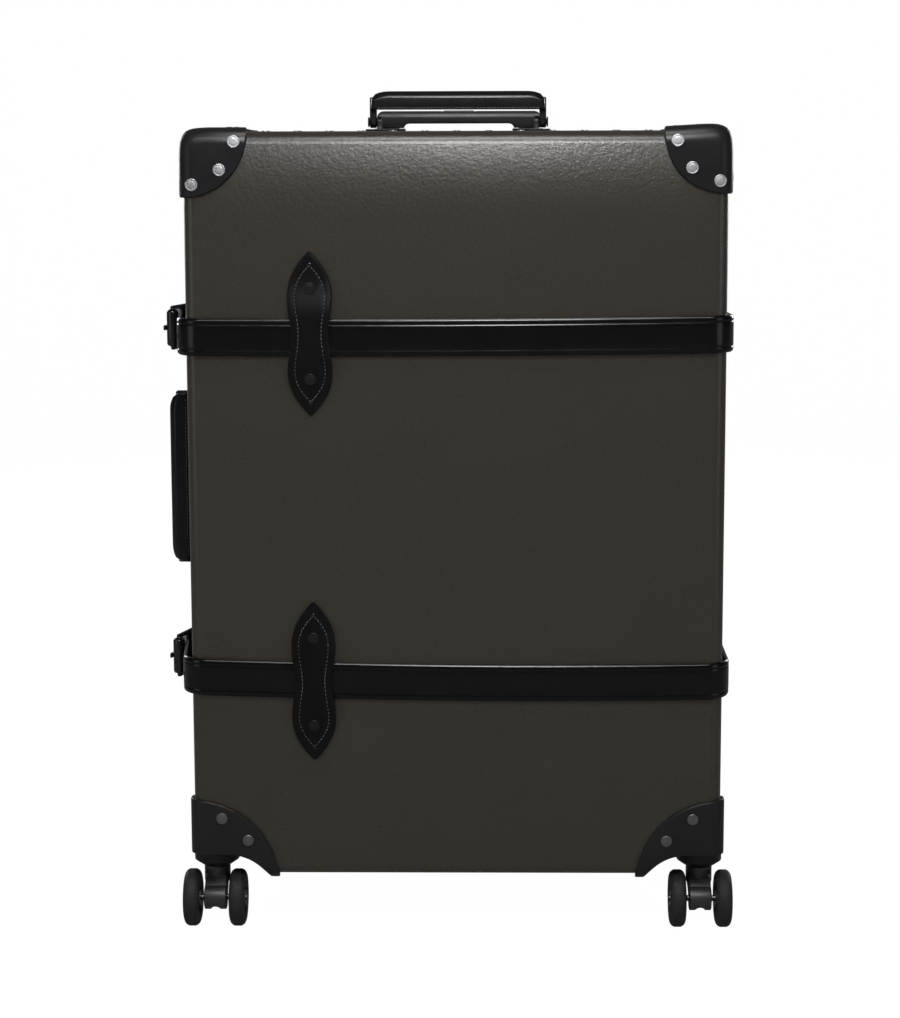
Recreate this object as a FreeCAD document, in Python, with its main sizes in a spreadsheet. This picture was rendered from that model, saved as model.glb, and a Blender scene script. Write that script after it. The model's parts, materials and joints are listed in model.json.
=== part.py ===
import FreeCAD, Part
import math
import os
import Sketcher

# A large four-wheeled suitcase with a fibreboard shell, standing on its casters.
# Millimetres. +X is to the right seen from the front, +Y goes from the front face to the back, +Z is up.
# The origin lies on the floor under the middle of the shell. The front half is the lid.

doc = FreeCAD.newDocument("suitcase")
sheet = doc.addObject("Spreadsheet::Sheet", "Sizes")
nodes = []


# Sizes and the formulas that tie objects to them

class Size:
    """A length: its value, and the formula that ties it to the sheet."""

    def __init__(self, value, formula):
        self.value = float(value)
        self.formula = formula

    def __float__(self):
        return self.value

    def __add__(self, other):
        other = as_size(other)
        return Size(self.value + other.value, f"({self.formula} + {other.formula})")

    def __sub__(self, other):
        other = as_size(other)
        return Size(self.value - other.value, f"({self.formula} - {other.formula})")

    def __mul__(self, other):
        other = as_size(other)
        return Size(self.value * other.value, f"({self.formula} * {other.formula})")

    def __truediv__(self, other):
        other = as_size(other)
        return Size(self.value / other.value, f"({self.formula} / {other.formula})")

    def __radd__(self, other):
        return as_size(other) + self

    def __rsub__(self, other):
        return as_size(other) - self

    def __rmul__(self, other):
        return as_size(other) * self

    def __neg__(self):
        return Size(-self.value, f"(-{self.formula})")


def as_size(number):
    if isinstance(number, Size):
        return number
    return Size(number, f"({number})")


def diagonal(a, b):
    return Size(math.hypot(a.value, b.value), f"sqrt({a.formula} ^ 2 + {b.formula} ^ 2)")


def size(alias, number):
    """A driving dimension, kept in the next row of the sheet."""
    row = size.rows = size.rows + 1
    sheet.set(f"A{row}", alias)
    sheet.set(f"B{row}", str(number))
    sheet.setAlias(f"B{row}", alias)
    sheet.recompute()
    return Size(sheet.get(alias), f"Sizes.{alias}")


size.rows = 0

# The shell
case_width = size("case_width", 520)
case_height = size("case_height", 729)
lid_depth = size("lid_depth", 105)
base_depth = size("base_depth", 175)
shell_wall = size("shell_wall", 3)
corner_round = size("corner_round", 25)
face_round = size("face_round", 12)
lining_thickness = size("lining_thickness", 1.5)
panel_thickness = size("panel_thickness", 3)
rim_thickness = size("rim_thickness", 3)
rim_depth = size("rim_depth", 25)
rim_reach = size("rim_reach", 15)
rim_gap = size("rim_gap", 0.5)

# Leather corners, wheel housings and rivets
leather_thickness = size("leather_thickness", 4)
corner_reach = size("corner_reach", 62.5)
rear_corner_reach = size("rear_corner_reach", 48)
housing_skin = size("housing_skin", 4)
housing_radius = size("housing_radius", 84)
housing_centre_in = size("housing_centre_in", 6)
housing_centre_down = size("housing_centre_down", 6.6)
housing_liner = size("housing_liner", 3)
well_length = size("well_length", 81)
well_depth = size("well_depth", 76)
well_height = size("well_height", 21.5)
well_round = size("well_round", 12)
scallop_radius = size("scallop_radius", 47)
rivet_radius = size("rivet_radius", 5.5)
rivet_height = size("rivet_height", 1.8)
shank_radius = size("shank_radius", 2)
corner_rivet_reach = size("corner_rivet_reach", 51)
rear_rivet_reach = size("rear_rivet_reach", 36)
housing_rivet_reach = size("housing_rivet_reach", 65.4)
rim_rivet_radius = size("rim_rivet_radius", 3.4)
rim_rivet_height = size("rim_rivet_height", 1.4)
rim_rivet_pitch = size("rim_rivet_pitch", 31.5)
rim_rivet_inset = size("rim_rivet_inset", 9)

# Casters
wheel_radius = size("wheel_radius", 28.5)
wheel_width = size("wheel_width", 16)
wheel_gap = size("wheel_gap", 29.5)
wheel_room = size("wheel_room", 0.5)
hub_radius = size("hub_radius", 20)
hub_recess = size("hub_recess", 1.5)
axle_radius = size("axle_radius", 3)
axle_overhang = size("axle_overhang", 1)
caster_trail = size("caster_trail", 19)
caster_side_inset = size("caster_side_inset", 18)
caster_face_inset = size("caster_face_inset", 40)
cap_radius = size("cap_radius", 22.5)
cap_height = size("cap_height", 15)
cap_taper = size("cap_taper", 6)
neck_radius = size("neck_radius", 14)
king_pin_radius = size("king_pin_radius", 4)
king_pin_length = size("king_pin_length", 15)
fork_width = size("fork_width", 22)
fork_head_radius = size("fork_head_radius", 13)
fork_boss_radius = size("fork_boss_radius", 12)
fork_head_height = size("fork_head_height", 17)
fork_notch_radius = size("fork_notch_radius", 4.5)
running_gap = size("running_gap", 0.05)
face_gap = size("face_gap", 0.4)

# Straps, their loops and buckles
strap_width = size("strap_width", 33.5)
strap_thickness = size("strap_thickness", 4)
strap_gap = size("strap_gap", 0.5)
strap_spacing = size("strap_spacing", 333.5)
fitting_rise = size("fitting_rise", 4.5)
chape_gap = size("chape_gap", 3)
loop_length = size("loop_length", 156)
loop_width = size("loop_width", 44)
loop_waist = size("loop_waist", 39)
loop_shoulder = size("loop_shoulder", 72)
loop_thickness = size("loop_thickness", 3)
loop_x = size("loop_x", -139.5)
loop_rivet_spacing = size("loop_rivet_spacing", 87)
heel_radius = size("heel_radius", 2.5)
heel_out = size("heel_out", 13)
heel_behind = size("heel_behind", 27)
roller_radius = size("roller_radius", 6)
roller_out = size("roller_out", 23.5)
roller_ahead = size("roller_ahead", 37)
buckle_bar = size("buckle_bar", 4.5)
prong_width = size("prong_width", 5)
prong_thickness = size("prong_thickness", 2.4)
prong_overhang = size("prong_overhang", 4)
fold_thickness = size("fold_thickness", 3.5)
keeper_width = size("keeper_width", 12)
keeper_thickness = size("keeper_thickness", 2)
keeper_behind = size("keeper_behind", 55)
tongue_behind = size("tongue_behind", 95)
hole_radius = size("hole_radius", 2.2)
hole_pitch = size("hole_pitch", 26)

# Carry handles
handle_length = size("handle_length", 180)
side_handle_rise = size("side_handle_rise", 3.5)
handle_out = size("handle_out", 40)
handle_hand_gap = size("handle_hand_gap", 22)
grip_width = size("grip_width", 28)
grip_round = size("grip_round", 6)
grip_edge_round = size("grip_edge_round", 3)
arm_thickness = size("arm_thickness", 7)
arm_width = size("arm_width", 12)
arm_pivot_height = size("arm_pivot_height", 9)
arm_peg_radius = size("arm_peg_radius", 4)
arm_peg_length = size("arm_peg_length", 12)
bracket_foot = size("bracket_foot", 2)
bracket_width = size("bracket_width", 24)
bracket_flare = size("bracket_flare", 4)
bracket_ear = size("bracket_ear", 5)
pivot_radius = size("pivot_radius", 3)
pivot_head_radius = size("pivot_head_radius", 5)
pivot_head = size("pivot_head", 1.6)

# Trolley
trolley_spacing = size("trolley_spacing", 144)
tube_width = size("tube_width", 22)
tube_depth = size("tube_depth", 14)
tube_wall = size("tube_wall", 1.2)
slide_gap = size("slide_gap", 0.3)
inner_tube_length = size("inner_tube_length", 420)
bezel_margin = size("bezel_margin", 5)
bezel_height = size("bezel_height", 2.5)
trolley_width = size("trolley_width", 171)
trolley_leg = size("trolley_leg", 28)
trolley_deep = size("trolley_deep", 20)
trolley_top = size("trolley_top", 20.5)
trolley_bar = size("trolley_bar", 13)
trolley_round = size("trolley_round", 7)
button_length = size("button_length", 32)
button_width = size("button_width", 9)
button_height = size("button_height", 6)
button_proud = size("button_proud", 0.6)
button_travel = size("button_travel", 3)

# Hinges and locks
hinge_spacing = size("hinge_spacing", 255)
hinge_length = size("hinge_length", 50)
hinge_leaf = size("hinge_leaf", 22)
leaf_thickness = size("leaf_thickness", 2)
hinge_out = size("hinge_out", 4)
knuckle_radius = size("knuckle_radius", 3.7)
hinge_pin_radius = size("hinge_pin_radius", 2)
lock_spacing = size("lock_spacing", 226)
lock_height = size("lock_height", 44)
lock_depth = size("lock_depth", 34)
lock_thickness = size("lock_thickness", 9)
lock_setback = size("lock_setback", 1)
hasp_height = size("hasp_height", 28)
hasp_depth = size("hasp_depth", 32)
hasp_plate = size("hasp_plate", 2.5)
tongue_height = size("tongue_height", 16)
tongue_plate = size("tongue_plate", 3)
tongue_lift = size("tongue_lift", 3.3)
tongue_entry = size("tongue_entry", 16)
bolt_width = size("bolt_width", 5)
bolt_length = size("bolt_length", 5.6)
bolt_back = size("bolt_back", 7)
bolt_travel = size("bolt_travel", 5)
knob_length = size("knob_length", 7)
knob_height = size("knob_height", 3)
lock_gap = size("lock_gap", 0.7)

# Half the chord of a wheel's top that passes beside a housing, as a share of the wheel's radius
WHEEL_TOP_CHORD = 0.6

# Places worked out from those sizes
side_x = case_width / 2
front_y = -(lid_depth + base_depth) / 2
parting_y = front_y + lid_depth
back_y = front_y + lid_depth + base_depth
bottom_z = wheel_radius * 2 + wheel_room
top_z = bottom_z + case_height
mid_z = bottom_z + case_height / 2
handle_y = parting_y + base_depth / 2
ceiling_z = bottom_z + well_height
wheel_top_reach = wheel_radius * WHEEL_TOP_CHORD
caster_swing = diagonal(caster_trail + wheel_top_reach, wheel_gap / 2 + wheel_width) + face_gap
fitting_z = mid_z + fitting_rise
upper_z = fitting_z + strap_spacing / 2
lower_z = fitting_z - strap_spacing / 2
LEFT = -1
RIGHT = 1
FRONT = -1
BACK = 1


# Building blocks

def bind(thing, prop, length):
    thing.setExpression(prop, as_size(length).formula)


def span(sign, near, far):
    """The stretch from near to far on the plus or the minus side, lowest end first."""
    if sign > 0:
        return as_size(near), as_size(far)
    return -as_size(far), -as_size(near)


def about(middle, width):
    return middle - width / 2, middle + width / 2


def block(name, x, y, z):
    made = doc.addObject("Part::Box", name)
    for side, axis, (low, high) in zip(("Length", "Width", "Height"), "xyz", (x, y, z)):
        bind(made, side, as_size(high) - low)
        bind(made, f"Placement.Base.{axis}", low)
    return made


TURNS = {
    "x": FreeCAD.Rotation(FreeCAD.Vector(0, 1, 0), 90),
    "y": FreeCAD.Rotation(FreeCAD.Vector(1, 0, 0), -90),
    "z": FreeCAD.Rotation(),
}


def rod(name, axis, radius, along, **at):
    """A round bar along one axis, at the given place on the other two."""
    made = doc.addObject("Part::Cylinder", name)
    made.Placement = FreeCAD.Placement(FreeCAD.Vector(), TURNS[axis])
    bind(made, "Radius", radius)
    bind(made, "Height", as_size(along[1]) - along[0])
    bind(made, f"Placement.Base.{axis}", along[0])
    for other, place in at.items():
        bind(made, f"Placement.Base.{other}", place)
    return made


def cone(name, low_radius, high_radius, z, x, y):
    made = doc.addObject("Part::Cone", name)
    bind(made, "Radius1", low_radius)
    bind(made, "Radius2", high_radius)
    bind(made, "Height", z[1] - z[0])
    for axis, place in zip("xyz", (x, y, z[0])):
        bind(made, f"Placement.Base.{axis}", place)
    return made


def ball(name, radius, x, y, z):
    made = doc.addObject("Part::Sphere", name)
    bind(made, "Radius", radius)
    for axis, place in zip("xyz", (x, y, z)):
        bind(made, f"Placement.Base.{axis}", place)
    return made


def fuse(name, *shapes):
    made = doc.addObject("Part::MultiFuse", name)
    made.Shapes = list(shapes)
    return made


def common(name, *shapes):
    made = doc.addObject("Part::MultiCommon", name)
    made.Shapes = list(shapes)
    return made


def cut(name, shape, *tools):
    made = doc.addObject("Part::Cut", name)
    made.Base = shape
    made.Tool = tools[0] if len(tools) == 1 else fuse(f"{name}_tools", *tools)
    return made


def group(name, *shapes):
    made = doc.addObject("Part::Compound", name)
    made.Links = list(shapes)
    return made


def node(name, made):
    """Marks an object as a sub-part and names it."""
    made.Label = name
    nodes.append(made)
    return made


PLANES = {"XY_Plane": ("xy", 1), "XZ_Plane": ("xz", -1), "YZ_Plane": ("yz", 1)}


def prism(name, plane, corners, along):
    """A body with a polygon on one of its origin planes, padded along that plane's axis."""
    body = doc.addObject("PartDesign::Body", name)
    facing = PLANES[plane][1]
    sketch = body.newObject("Sketcher::SketchObject", f"{name}_sketch")
    support = next(f for f in body.Origin.OriginFeatures if f.Role == plane)
    sketch.AttachmentSupport = (support, [""])
    sketch.MapMode = "FlatFace"
    bind(sketch, "AttachmentOffset.Base.z", as_size(along[0]) * facing)
    places = [FreeCAD.Vector(float(u), float(v), 0) for u, v in corners]
    last = len(places) - 1
    for index, start in enumerate(places):
        sketch.addGeometry(Part.LineSegment(start, places[0 if index == last else index + 1]), False)
    for index in range(len(places)):
        following = 0 if index == last else index + 1
        sketch.addConstraint(Sketcher.Constraint("Coincident", index, 2, following, 1))
    for index, corner in enumerate(corners):
        for kind, place in zip(("DistanceX", "DistanceY"), corner):
            number = sketch.addConstraint(Sketcher.Constraint(kind, -1, 1, index, 1, float(place)))
            bind(sketch, f"Constraints[{number}]", place)
    pad = body.newObject("PartDesign::Pad", f"{name}_pad")
    pad.Profile = sketch
    pad.Reversed = facing < 0
    bind(pad, "Length", as_size(along[1]) - along[0])
    doc.recompute()
    return body


def soften(body, radius, chosen):
    """Rounds the edges whose vertices all pass the test."""
    before = body.Tip
    picked = []
    for number, edge in enumerate(before.Shape.Edges, 1):
        if chosen([vertex.Point for vertex in edge.Vertexes]):
            picked.append(f"Edge{number}")
    rounding = body.newObject("PartDesign::Fillet", f"{body.Name}_round")
    rounding.Base = (before, picked)
    bind(rounding, "Radius", radius)
    body.Tip = rounding
    doc.recompute()
    return body


def near(a, b):
    return abs(float(a) - float(b)) < 1e-4


def rectangle(u, v):
    return [(u[0], v[0]), (u[1], v[0]), (u[1], v[1]), (u[0], v[1])]


def slab(name, grow, y, face=None):
    """A block with the case's outline, grown all round, and rounded round its outer face if one is named."""
    x = span(RIGHT, -(side_x + grow), side_x + grow)
    z = (bottom_z - grow, top_z + grow)
    body = prism(name, "XZ_Plane", rectangle(x, z), y)

    def crosswise(points):
        return near(points[0].x, points[-1].x) and near(points[0].z, points[-1].z)

    soften(body, corner_round + grow, crosswise)
    if face:
        level = y[0] if face == FRONT else y[1]
        soften(body, face_round + grow, lambda points: all(near(p.y, level) for p in points))
    return body


def well(name, side, face, grow):
    """The space a caster sits in, grown upwards and inwards, with a roof that curves down to the bottom."""
    outside = housing_skin * 3
    inner_x = side_x - well_length - grow
    depth = (lid_depth + base_depth) / 2
    inner_y = depth - well_depth - grow
    roof = ceiling_z + grow
    x = span(side, inner_x, side_x + outside)
    y = span(face, inner_y, depth + outside)
    body = prism(name, "XZ_Plane", rectangle(x, (bottom_z - scallop_radius, roof)), y)

    def scallop(points):
        return all(near(p.x, inner_x * side) and near(p.z, roof) for p in points)

    def inner_end(points):
        above = all(p.z > float(bottom_z - scallop_radius) + 1 for p in points)
        return above and all(near(p.y, inner_y * face) for p in points)

    soften(body, scallop_radius + grow, scallop)
    return soften(body, well_round + grow, inner_end)


def caster_place(side, face):
    """Where a caster's swivel axis stands in plan."""
    return (side_x - caster_side_inset) * side, ((lid_depth + base_depth) / 2 - caster_face_inset) * face


# The two halves of the shell, with their corners, housings and linings

def shell_half(name, face, lining_y):
    """One half's shell, leather corners, wheel housings and lining; the outer face is FRONT or BACK."""
    far = front_y if face == FRONT else back_y

    def reach(outward, beyond):
        """From the outer face, moved outward, to the parting plane, moved beyond it."""
        edge = far + outward * face
        seam = parting_y - beyond * face
        return (edge, seam) if face == FRONT else (seam, edge)

    solid = slab(f"{name}_solid", as_size(0), reach(as_size(0), as_size(0)), face)
    hollow = slab(f"{name}_hollow", -shell_wall, reach(-shell_wall, shell_wall), face)
    hide = slab(f"{name}_hide", leather_thickness, reach(leather_thickness, as_size(0)), face)
    skin = slab(f"{name}_skin", housing_skin, reach(housing_skin, as_size(0)), face)
    hide_layer = cut(f"{name}_hide_layer", hide, solid)
    skin_layer = cut(f"{name}_skin_layer", skin, solid)
    corners = []
    housings = []
    pockets = []
    for side, word in ((LEFT, "left"), (RIGHT, "right")):
        cap_reach = corner_reach if face == FRONT else rear_corner_reach
        corner_ball = ball(f"{name}_corner_ball_{word}", cap_reach, side_x * side, far, top_z)
        corners.append(common(f"{name}_corner_{word}", hide_layer, corner_ball))
        housing_ball = ball(
            f"{name}_housing_ball_{word}", housing_radius, side_x * side,
            far - housing_centre_in * face, bottom_z - housing_centre_down,
        )
        pocket = well(f"{name}_pocket_{word}", side, face, housing_liner)
        space = well(f"{name}_well_{word}", side, face, as_size(0))
        outer = common(f"{name}_housing_skin_{word}", skin_layer, housing_ball)
        inner = common(f"{name}_housing_liner_{word}", solid, pocket)
        joined = fuse(f"{name}_housing_body_{word}", outer, inner)
        x, y = caster_place(side, face)
        seat_z = (bottom_z, ceiling_z)
        seat = rod(f"{name}_cap_seat_{word}", "z", cap_radius + face_gap, seat_z, x=x, y=y)
        swing_z = (bottom_z - housing_skin * 2, bottom_z)
        sweep = rod(f"{name}_wheel_sweep_{word}", "z", caster_swing, swing_z, x=x, y=y)
        housings.append(cut(f"{name}_housing_{word}", joined, space, seat, sweep))
        pockets.append(pocket)
    lining = slab(f"{name}_lining_body", -shell_wall, lining_y(reach(-shell_wall, as_size(0))), face)
    lining_space = slab(
        f"{name}_lining_space", -shell_wall - lining_thickness,
        lining_y(reach(-shell_wall - lining_thickness, as_size(0)), shell_wall), face,
    )
    return solid, hollow, pockets, corners, housings, lining, lining_space


def lid_lining_y(reach, beyond=0):
    """The lid's lining stops short of the base's collar."""
    return reach[0], parting_y - rim_reach - face_gap + beyond


trolley_y = back_y - face_round - tube_depth / 2 - bezel_margin
panel_y = trolley_y - tube_depth / 2 - panel_thickness


def base_lining_y(reach, beyond=0):
    """The base's lining starts behind its collar and stops at the panel that hides the trolley tubes."""
    stop = panel_y if near(as_size(beyond), 0) else panel_y - lining_thickness
    return parting_y + rim_depth - beyond, stop


(lid_solid, lid_hollow, lid_pockets, lid_corner_pair, lid_housing_pair,
 lid_lining_body, lid_lining_space) = shell_half("lid", FRONT, lid_lining_y)
(base_solid, base_hollow, base_pockets, base_corner_pair, base_housing_pair,
 base_lining_body, base_lining_space) = shell_half("base", BACK, base_lining_y)

tube_holes = []
for side, word in ((LEFT, "left"), (RIGHT, "right")):
    tube_x = trolley_spacing / 2 * side
    hole_z = (top_z - shell_wall * 2, top_z + shell_wall)
    tube_holes.append(
        block(f"tube_hole_{word}", about(tube_x, tube_width), about(trolley_y, tube_depth), hole_z)
    )

node("lid_shell", cut("lid_shell", lid_solid, lid_hollow, *lid_pockets))
node("lid_lining", cut("lid_lining", lid_lining_body, lid_lining_space, *lid_pockets))
node("lid_corners", group("lid_corners", *lid_corner_pair))
node("front_wheel_housings", group("front_wheel_housings", *lid_housing_pair))
node("base_shell", cut("base_shell", base_solid, base_hollow, *base_pockets, *tube_holes))
node("base_lining", cut("base_lining", base_lining_body, base_lining_space, *base_pockets))
node("base_corners", group("base_corners", *base_corner_pair))
node("rear_wheel_housings", group("rear_wheel_housings", *base_housing_pair))

# The collar round the base's mouth, which the lid closes over
collar_seat = slab("collar_seat", -shell_wall, (parting_y, parting_y + rim_depth))
collar_lip = slab("collar_lip", -shell_wall - rim_gap, (parting_y - rim_reach, parting_y))
collar_y = (parting_y - rim_reach - rim_gap, parting_y + rim_depth + rim_gap)
collar_space = slab("collar_space", -shell_wall - rim_thickness, collar_y)
node("base_rim", cut("base_rim", fuse("collar", collar_seat, collar_lip), collar_space))

# The board that hides the trolley tubes
panel_board = slab("panel_board", -shell_wall, (panel_y, panel_y + panel_thickness))
node("trolley_cover_panel", cut("trolley_cover_panel", panel_board, *base_pockets))


# Rivets: a domed head and a shank, set on a face along its outward direction

def rivet(head_radius, head_height, shank_length):
    head = Part.makeCylinder(float(head_radius), float(head_height))
    rim = [edge for edge in head.Edges if near(edge.BoundBox.ZMin, head_height)]
    head = head.makeFillet(float(head_height) * 0.6, rim)
    base = FreeCAD.Vector(0, 0, -float(shank_length))
    shank = Part.makeCylinder(float(shank_radius), float(shank_length) + float(head_height) / 4, base)
    return head.fuse(shank).removeSplitter()


def seated(master, point, direction):
    placed = master.copy()
    turn = FreeCAD.Rotation(FreeCAD.Vector(0, 0, 1), FreeCAD.Vector(*direction))
    placed.Placement = FreeCAD.Placement(FreeCAD.Vector(*[float(p) for p in point]), turn)
    return placed


def shaped(name, solids):
    made = doc.addObject("Part::Feature", name)
    made.Shape = Part.makeCompound(solids) if len(solids) > 1 else solids[0]
    return node(name, made)


def edge_seat(inset, grow):
    """On a face's rounded edge: how far the surface has dropped at that inset, and how far it has turned."""
    turn = math.asin(max(float(face_round) - inset, 0) / (float(face_round) + float(grow)))
    return (float(face_round) + float(grow)) * (1 - math.cos(turn)), turn


CORNER_RIVET_ANGLES = (11, 45, 79)
HOUSING_RIVET_ANGLES = (34.5, 64.5)
SIDE_RIVET_ANGLE = 22


def corner_rivets(face):
    """Three rivets on the face of each leather corner and one on its top and side; two on each housing."""
    far = float(front_y if face == FRONT else back_y)
    hide = float(leather_thickness)
    skin = float(housing_skin)
    leather_rivet = rivet(rivet_radius, rivet_height, leather_thickness + shell_wall)
    housing_rivet = rivet(rivet_radius, rivet_height, housing_skin + shell_wall)
    reach = float(corner_rivet_reach if face == FRONT else rear_rivet_reach)
    low_reach = float(housing_rivet_reach)
    made = []
    for side in (LEFT, RIGHT):
        edge = float(side_x) * side
        for degrees in CORNER_RIVET_ANGLES:
            in_x = reach * math.cos(math.radians(degrees))
            in_z = reach * math.sin(math.radians(degrees))
            drop_x, turn_x = edge_seat(in_x, hide)
            drop_z, turn_z = edge_seat(in_z, hide)
            y = far + face * (hide - drop_x - drop_z)
            facing = (side * math.sin(turn_x), face * math.cos(turn_x) * math.cos(turn_z), math.sin(turn_z))
            made.append(seated(leather_rivet, (edge - side * in_x, y, float(top_z) - in_z), facing))
        across = reach * math.cos(math.radians(SIDE_RIVET_ANGLE))
        deep = far - face * reach * math.sin(math.radians(SIDE_RIVET_ANGLE))
        made.append(seated(leather_rivet, (edge - side * across, deep, float(top_z) + hide), (0, 0, 1)))
        made.append(seated(leather_rivet, (edge + side * hide, deep, float(top_z) - across), (side, 0, 0)))
        for degrees in HOUSING_RIVET_ANGLES:
            along = low_reach * math.cos(math.radians(degrees))
            up = float(bottom_z) + low_reach * math.sin(math.radians(degrees))
            made.append(seated(housing_rivet, (edge - side * along, far + face * skin, up), (0, face, 0)))
            made.append(seated(housing_rivet, (edge + side * skin, far - face * along, up), (side, 0, 0)))
    return made


shaped("lid_rivets", corner_rivets(FRONT))
shaped("base_rivets", corner_rivets(BACK))


def rim_rivets(offset):
    """A row of small rivets beside the parting plane, along the top and both sides, clear of the fittings."""
    y = float(parting_y) + offset
    master = rivet(rim_rivet_radius, rim_rivet_height, shell_wall)
    pitch = float(rim_rivet_pitch)
    made = []
    across = math.floor((float(side_x) - float(corner_reach)) / pitch)
    for step in range(-across, across + 1):
        made.append(seated(master, (step * pitch, y, top_z), (0, 0, 1)))
    rise = float(fitting_rise)
    straps = [(rise + float(strap_spacing) / 2 * sign, float(strap_width)) for sign in (1, -1)]
    hinges = [(float(hinge_spacing) * sign, float(hinge_length)) for sign in (1, 0, -1)]
    locks = [(rise + float(lock_spacing) / 2 * sign, float(lock_height)) for sign in (1, -1)]
    up = math.floor((float(case_height) / 2 - float(corner_reach)) / pitch)
    for side, fittings in ((LEFT, straps + locks), (RIGHT, straps + hinges)):
        for step in range(-up, up + 1):
            height = step * pitch
            room = float(rim_rivet_radius) * 2
            if all(abs(height - middle) > width / 2 + room for middle, width in fittings):
                made.append(seated(master, (float(side_x) * side, y, float(mid_z) + height), (side, 0, 0)))
    return made


shaped("lid_rim_rivets", rim_rivets(-float(rim_rivet_inset)))
shaped("base_rim_rivets", rim_rivets(float(rim_rivet_inset)))


# Casters: a fixed cap with its king pin, and a trailing fork with an axle and two wheels

def caster(face, side, where):
    x, y = caster_place(side, face)
    axle_y = y + caster_trail * face
    axle_z = wheel_radius
    cap_z = ceiling_z - cap_height
    neck_z = cap_z - cap_taper
    head_z = neck_z - face_gap
    disc = rod(f"cap_disc_{where}", "z", cap_radius, (cap_z, ceiling_z), x=x, y=y)
    taper = cone(f"cap_taper_{where}", neck_radius, cap_radius, (neck_z, cap_z), x, y)
    pin = rod(f"king_pin_{where}", "z", king_pin_radius, (neck_z - king_pin_length, cap_z), x=x, y=y)
    mount = fuse(f"cap_{where}", disc, taper, pin)

    across = about(x, fork_width)
    head = rod(f"fork_head_{where}", "z", fork_head_radius, (head_z - fork_head_height, head_z), x=x, y=y)
    boss = rod(f"fork_boss_{where}", "x", fork_boss_radius, across, y=axle_y, z=axle_z)
    outline = [
        (y + fork_width / 2 * face, head_z - fork_head_height / 2),
        (y - fork_width / 2 * face, head_z - fork_head_height / 2),
        (axle_y - fork_boss_radius * face, axle_z),
        (axle_y + fork_boss_radius * face, axle_z),
    ]
    leg = prism(f"fork_leg_{where}", "YZ_Plane", outline, across)
    bore = rod(f"fork_axle_bore_{where}", "x", axle_radius, across, y=axle_y, z=axle_z)
    socket_z = (neck_z - king_pin_length - face_gap, head_z)
    socket = rod(f"fork_socket_{where}", "z", king_pin_radius + running_gap, socket_z, x=x, y=y)
    notch_y = about(axle_y, fork_boss_radius * 3)
    notch = rod(f"fork_notch_{where}", "y", fork_notch_radius, notch_y, x=x, z=axle_z - fork_boss_radius)
    body = fuse(f"fork_body_{where}", head, leg, boss)
    node(f"caster_fork_{where}", cut(f"caster_fork_{where}", body, bore, socket, notch))

    overall = wheel_gap + (wheel_width + axle_overhang) * 2
    axle = rod(f"caster_axle_{where}", "x", axle_radius, about(x, overall), y=axle_y, z=axle_z)
    node(f"caster_axle_{where}", axle)
    for hand, word in ((LEFT, "left"), (RIGHT, "right")):
        wheel(f"wheel_{where}_{word}", x + (wheel_gap + wheel_width) / 2 * hand, axle_y, axle_z)
    return mount


def wheel(name, x, y, z):
    """A hub with a dished outer face, inside a tyre with rounded shoulders."""
    full = about(x, wheel_width)
    hub_disc = rod(f"{name}_hub_disc", "x", hub_radius, about(x, wheel_width - hub_recess * 2), y=y, z=z)
    hub_bore = rod(f"{name}_hub_bore", "x", axle_radius + running_gap, full, y=y, z=z)
    hub = cut(f"{name}_hub", hub_disc, hub_bore)
    tread = rod(f"{name}_tread", "x", wheel_radius, full, y=y, z=z)
    seat = rod(f"{name}_seat", "x", hub_radius, full, y=y, z=z)
    tyre = cut(f"{name}_tyre", tread, seat)
    node(name, group(name, hub, tyre))


front_mounts = [caster(FRONT, LEFT, "front_left"), caster(FRONT, RIGHT, "front_right")]
rear_mounts = [caster(BACK, LEFT, "rear_left"), caster(BACK, RIGHT, "rear_right")]
node("front_caster_mounts", group("front_caster_mounts", *front_mounts))
node("rear_caster_mounts", group("rear_caster_mounts", *rear_mounts))


# Buckles: a frame with a heel bar and a roller, and a prong that turns on the heel bar

heel_x = -side_x - heel_out
heel_y = parting_y + heel_behind
roller_x = -side_x - roller_out
roller_y = heel_y - roller_ahead
buckle_length = diagonal(roller_x - heel_x, roller_y - heel_y)
ahead_x = (roller_x - heel_x) / buckle_length
ahead_y = (roller_y - heel_y) / buckle_length


def on_buckle(ahead, outward):
    """A place in plan, measured from the heel bar towards the roller, and away from the case."""
    return heel_x + ahead_x * ahead + ahead_y * outward, heel_y + ahead_y * ahead - ahead_x * outward


buckle_inside = strap_width / 2 + face_gap * 2
buckle_outside = buckle_inside + buckle_bar


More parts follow.
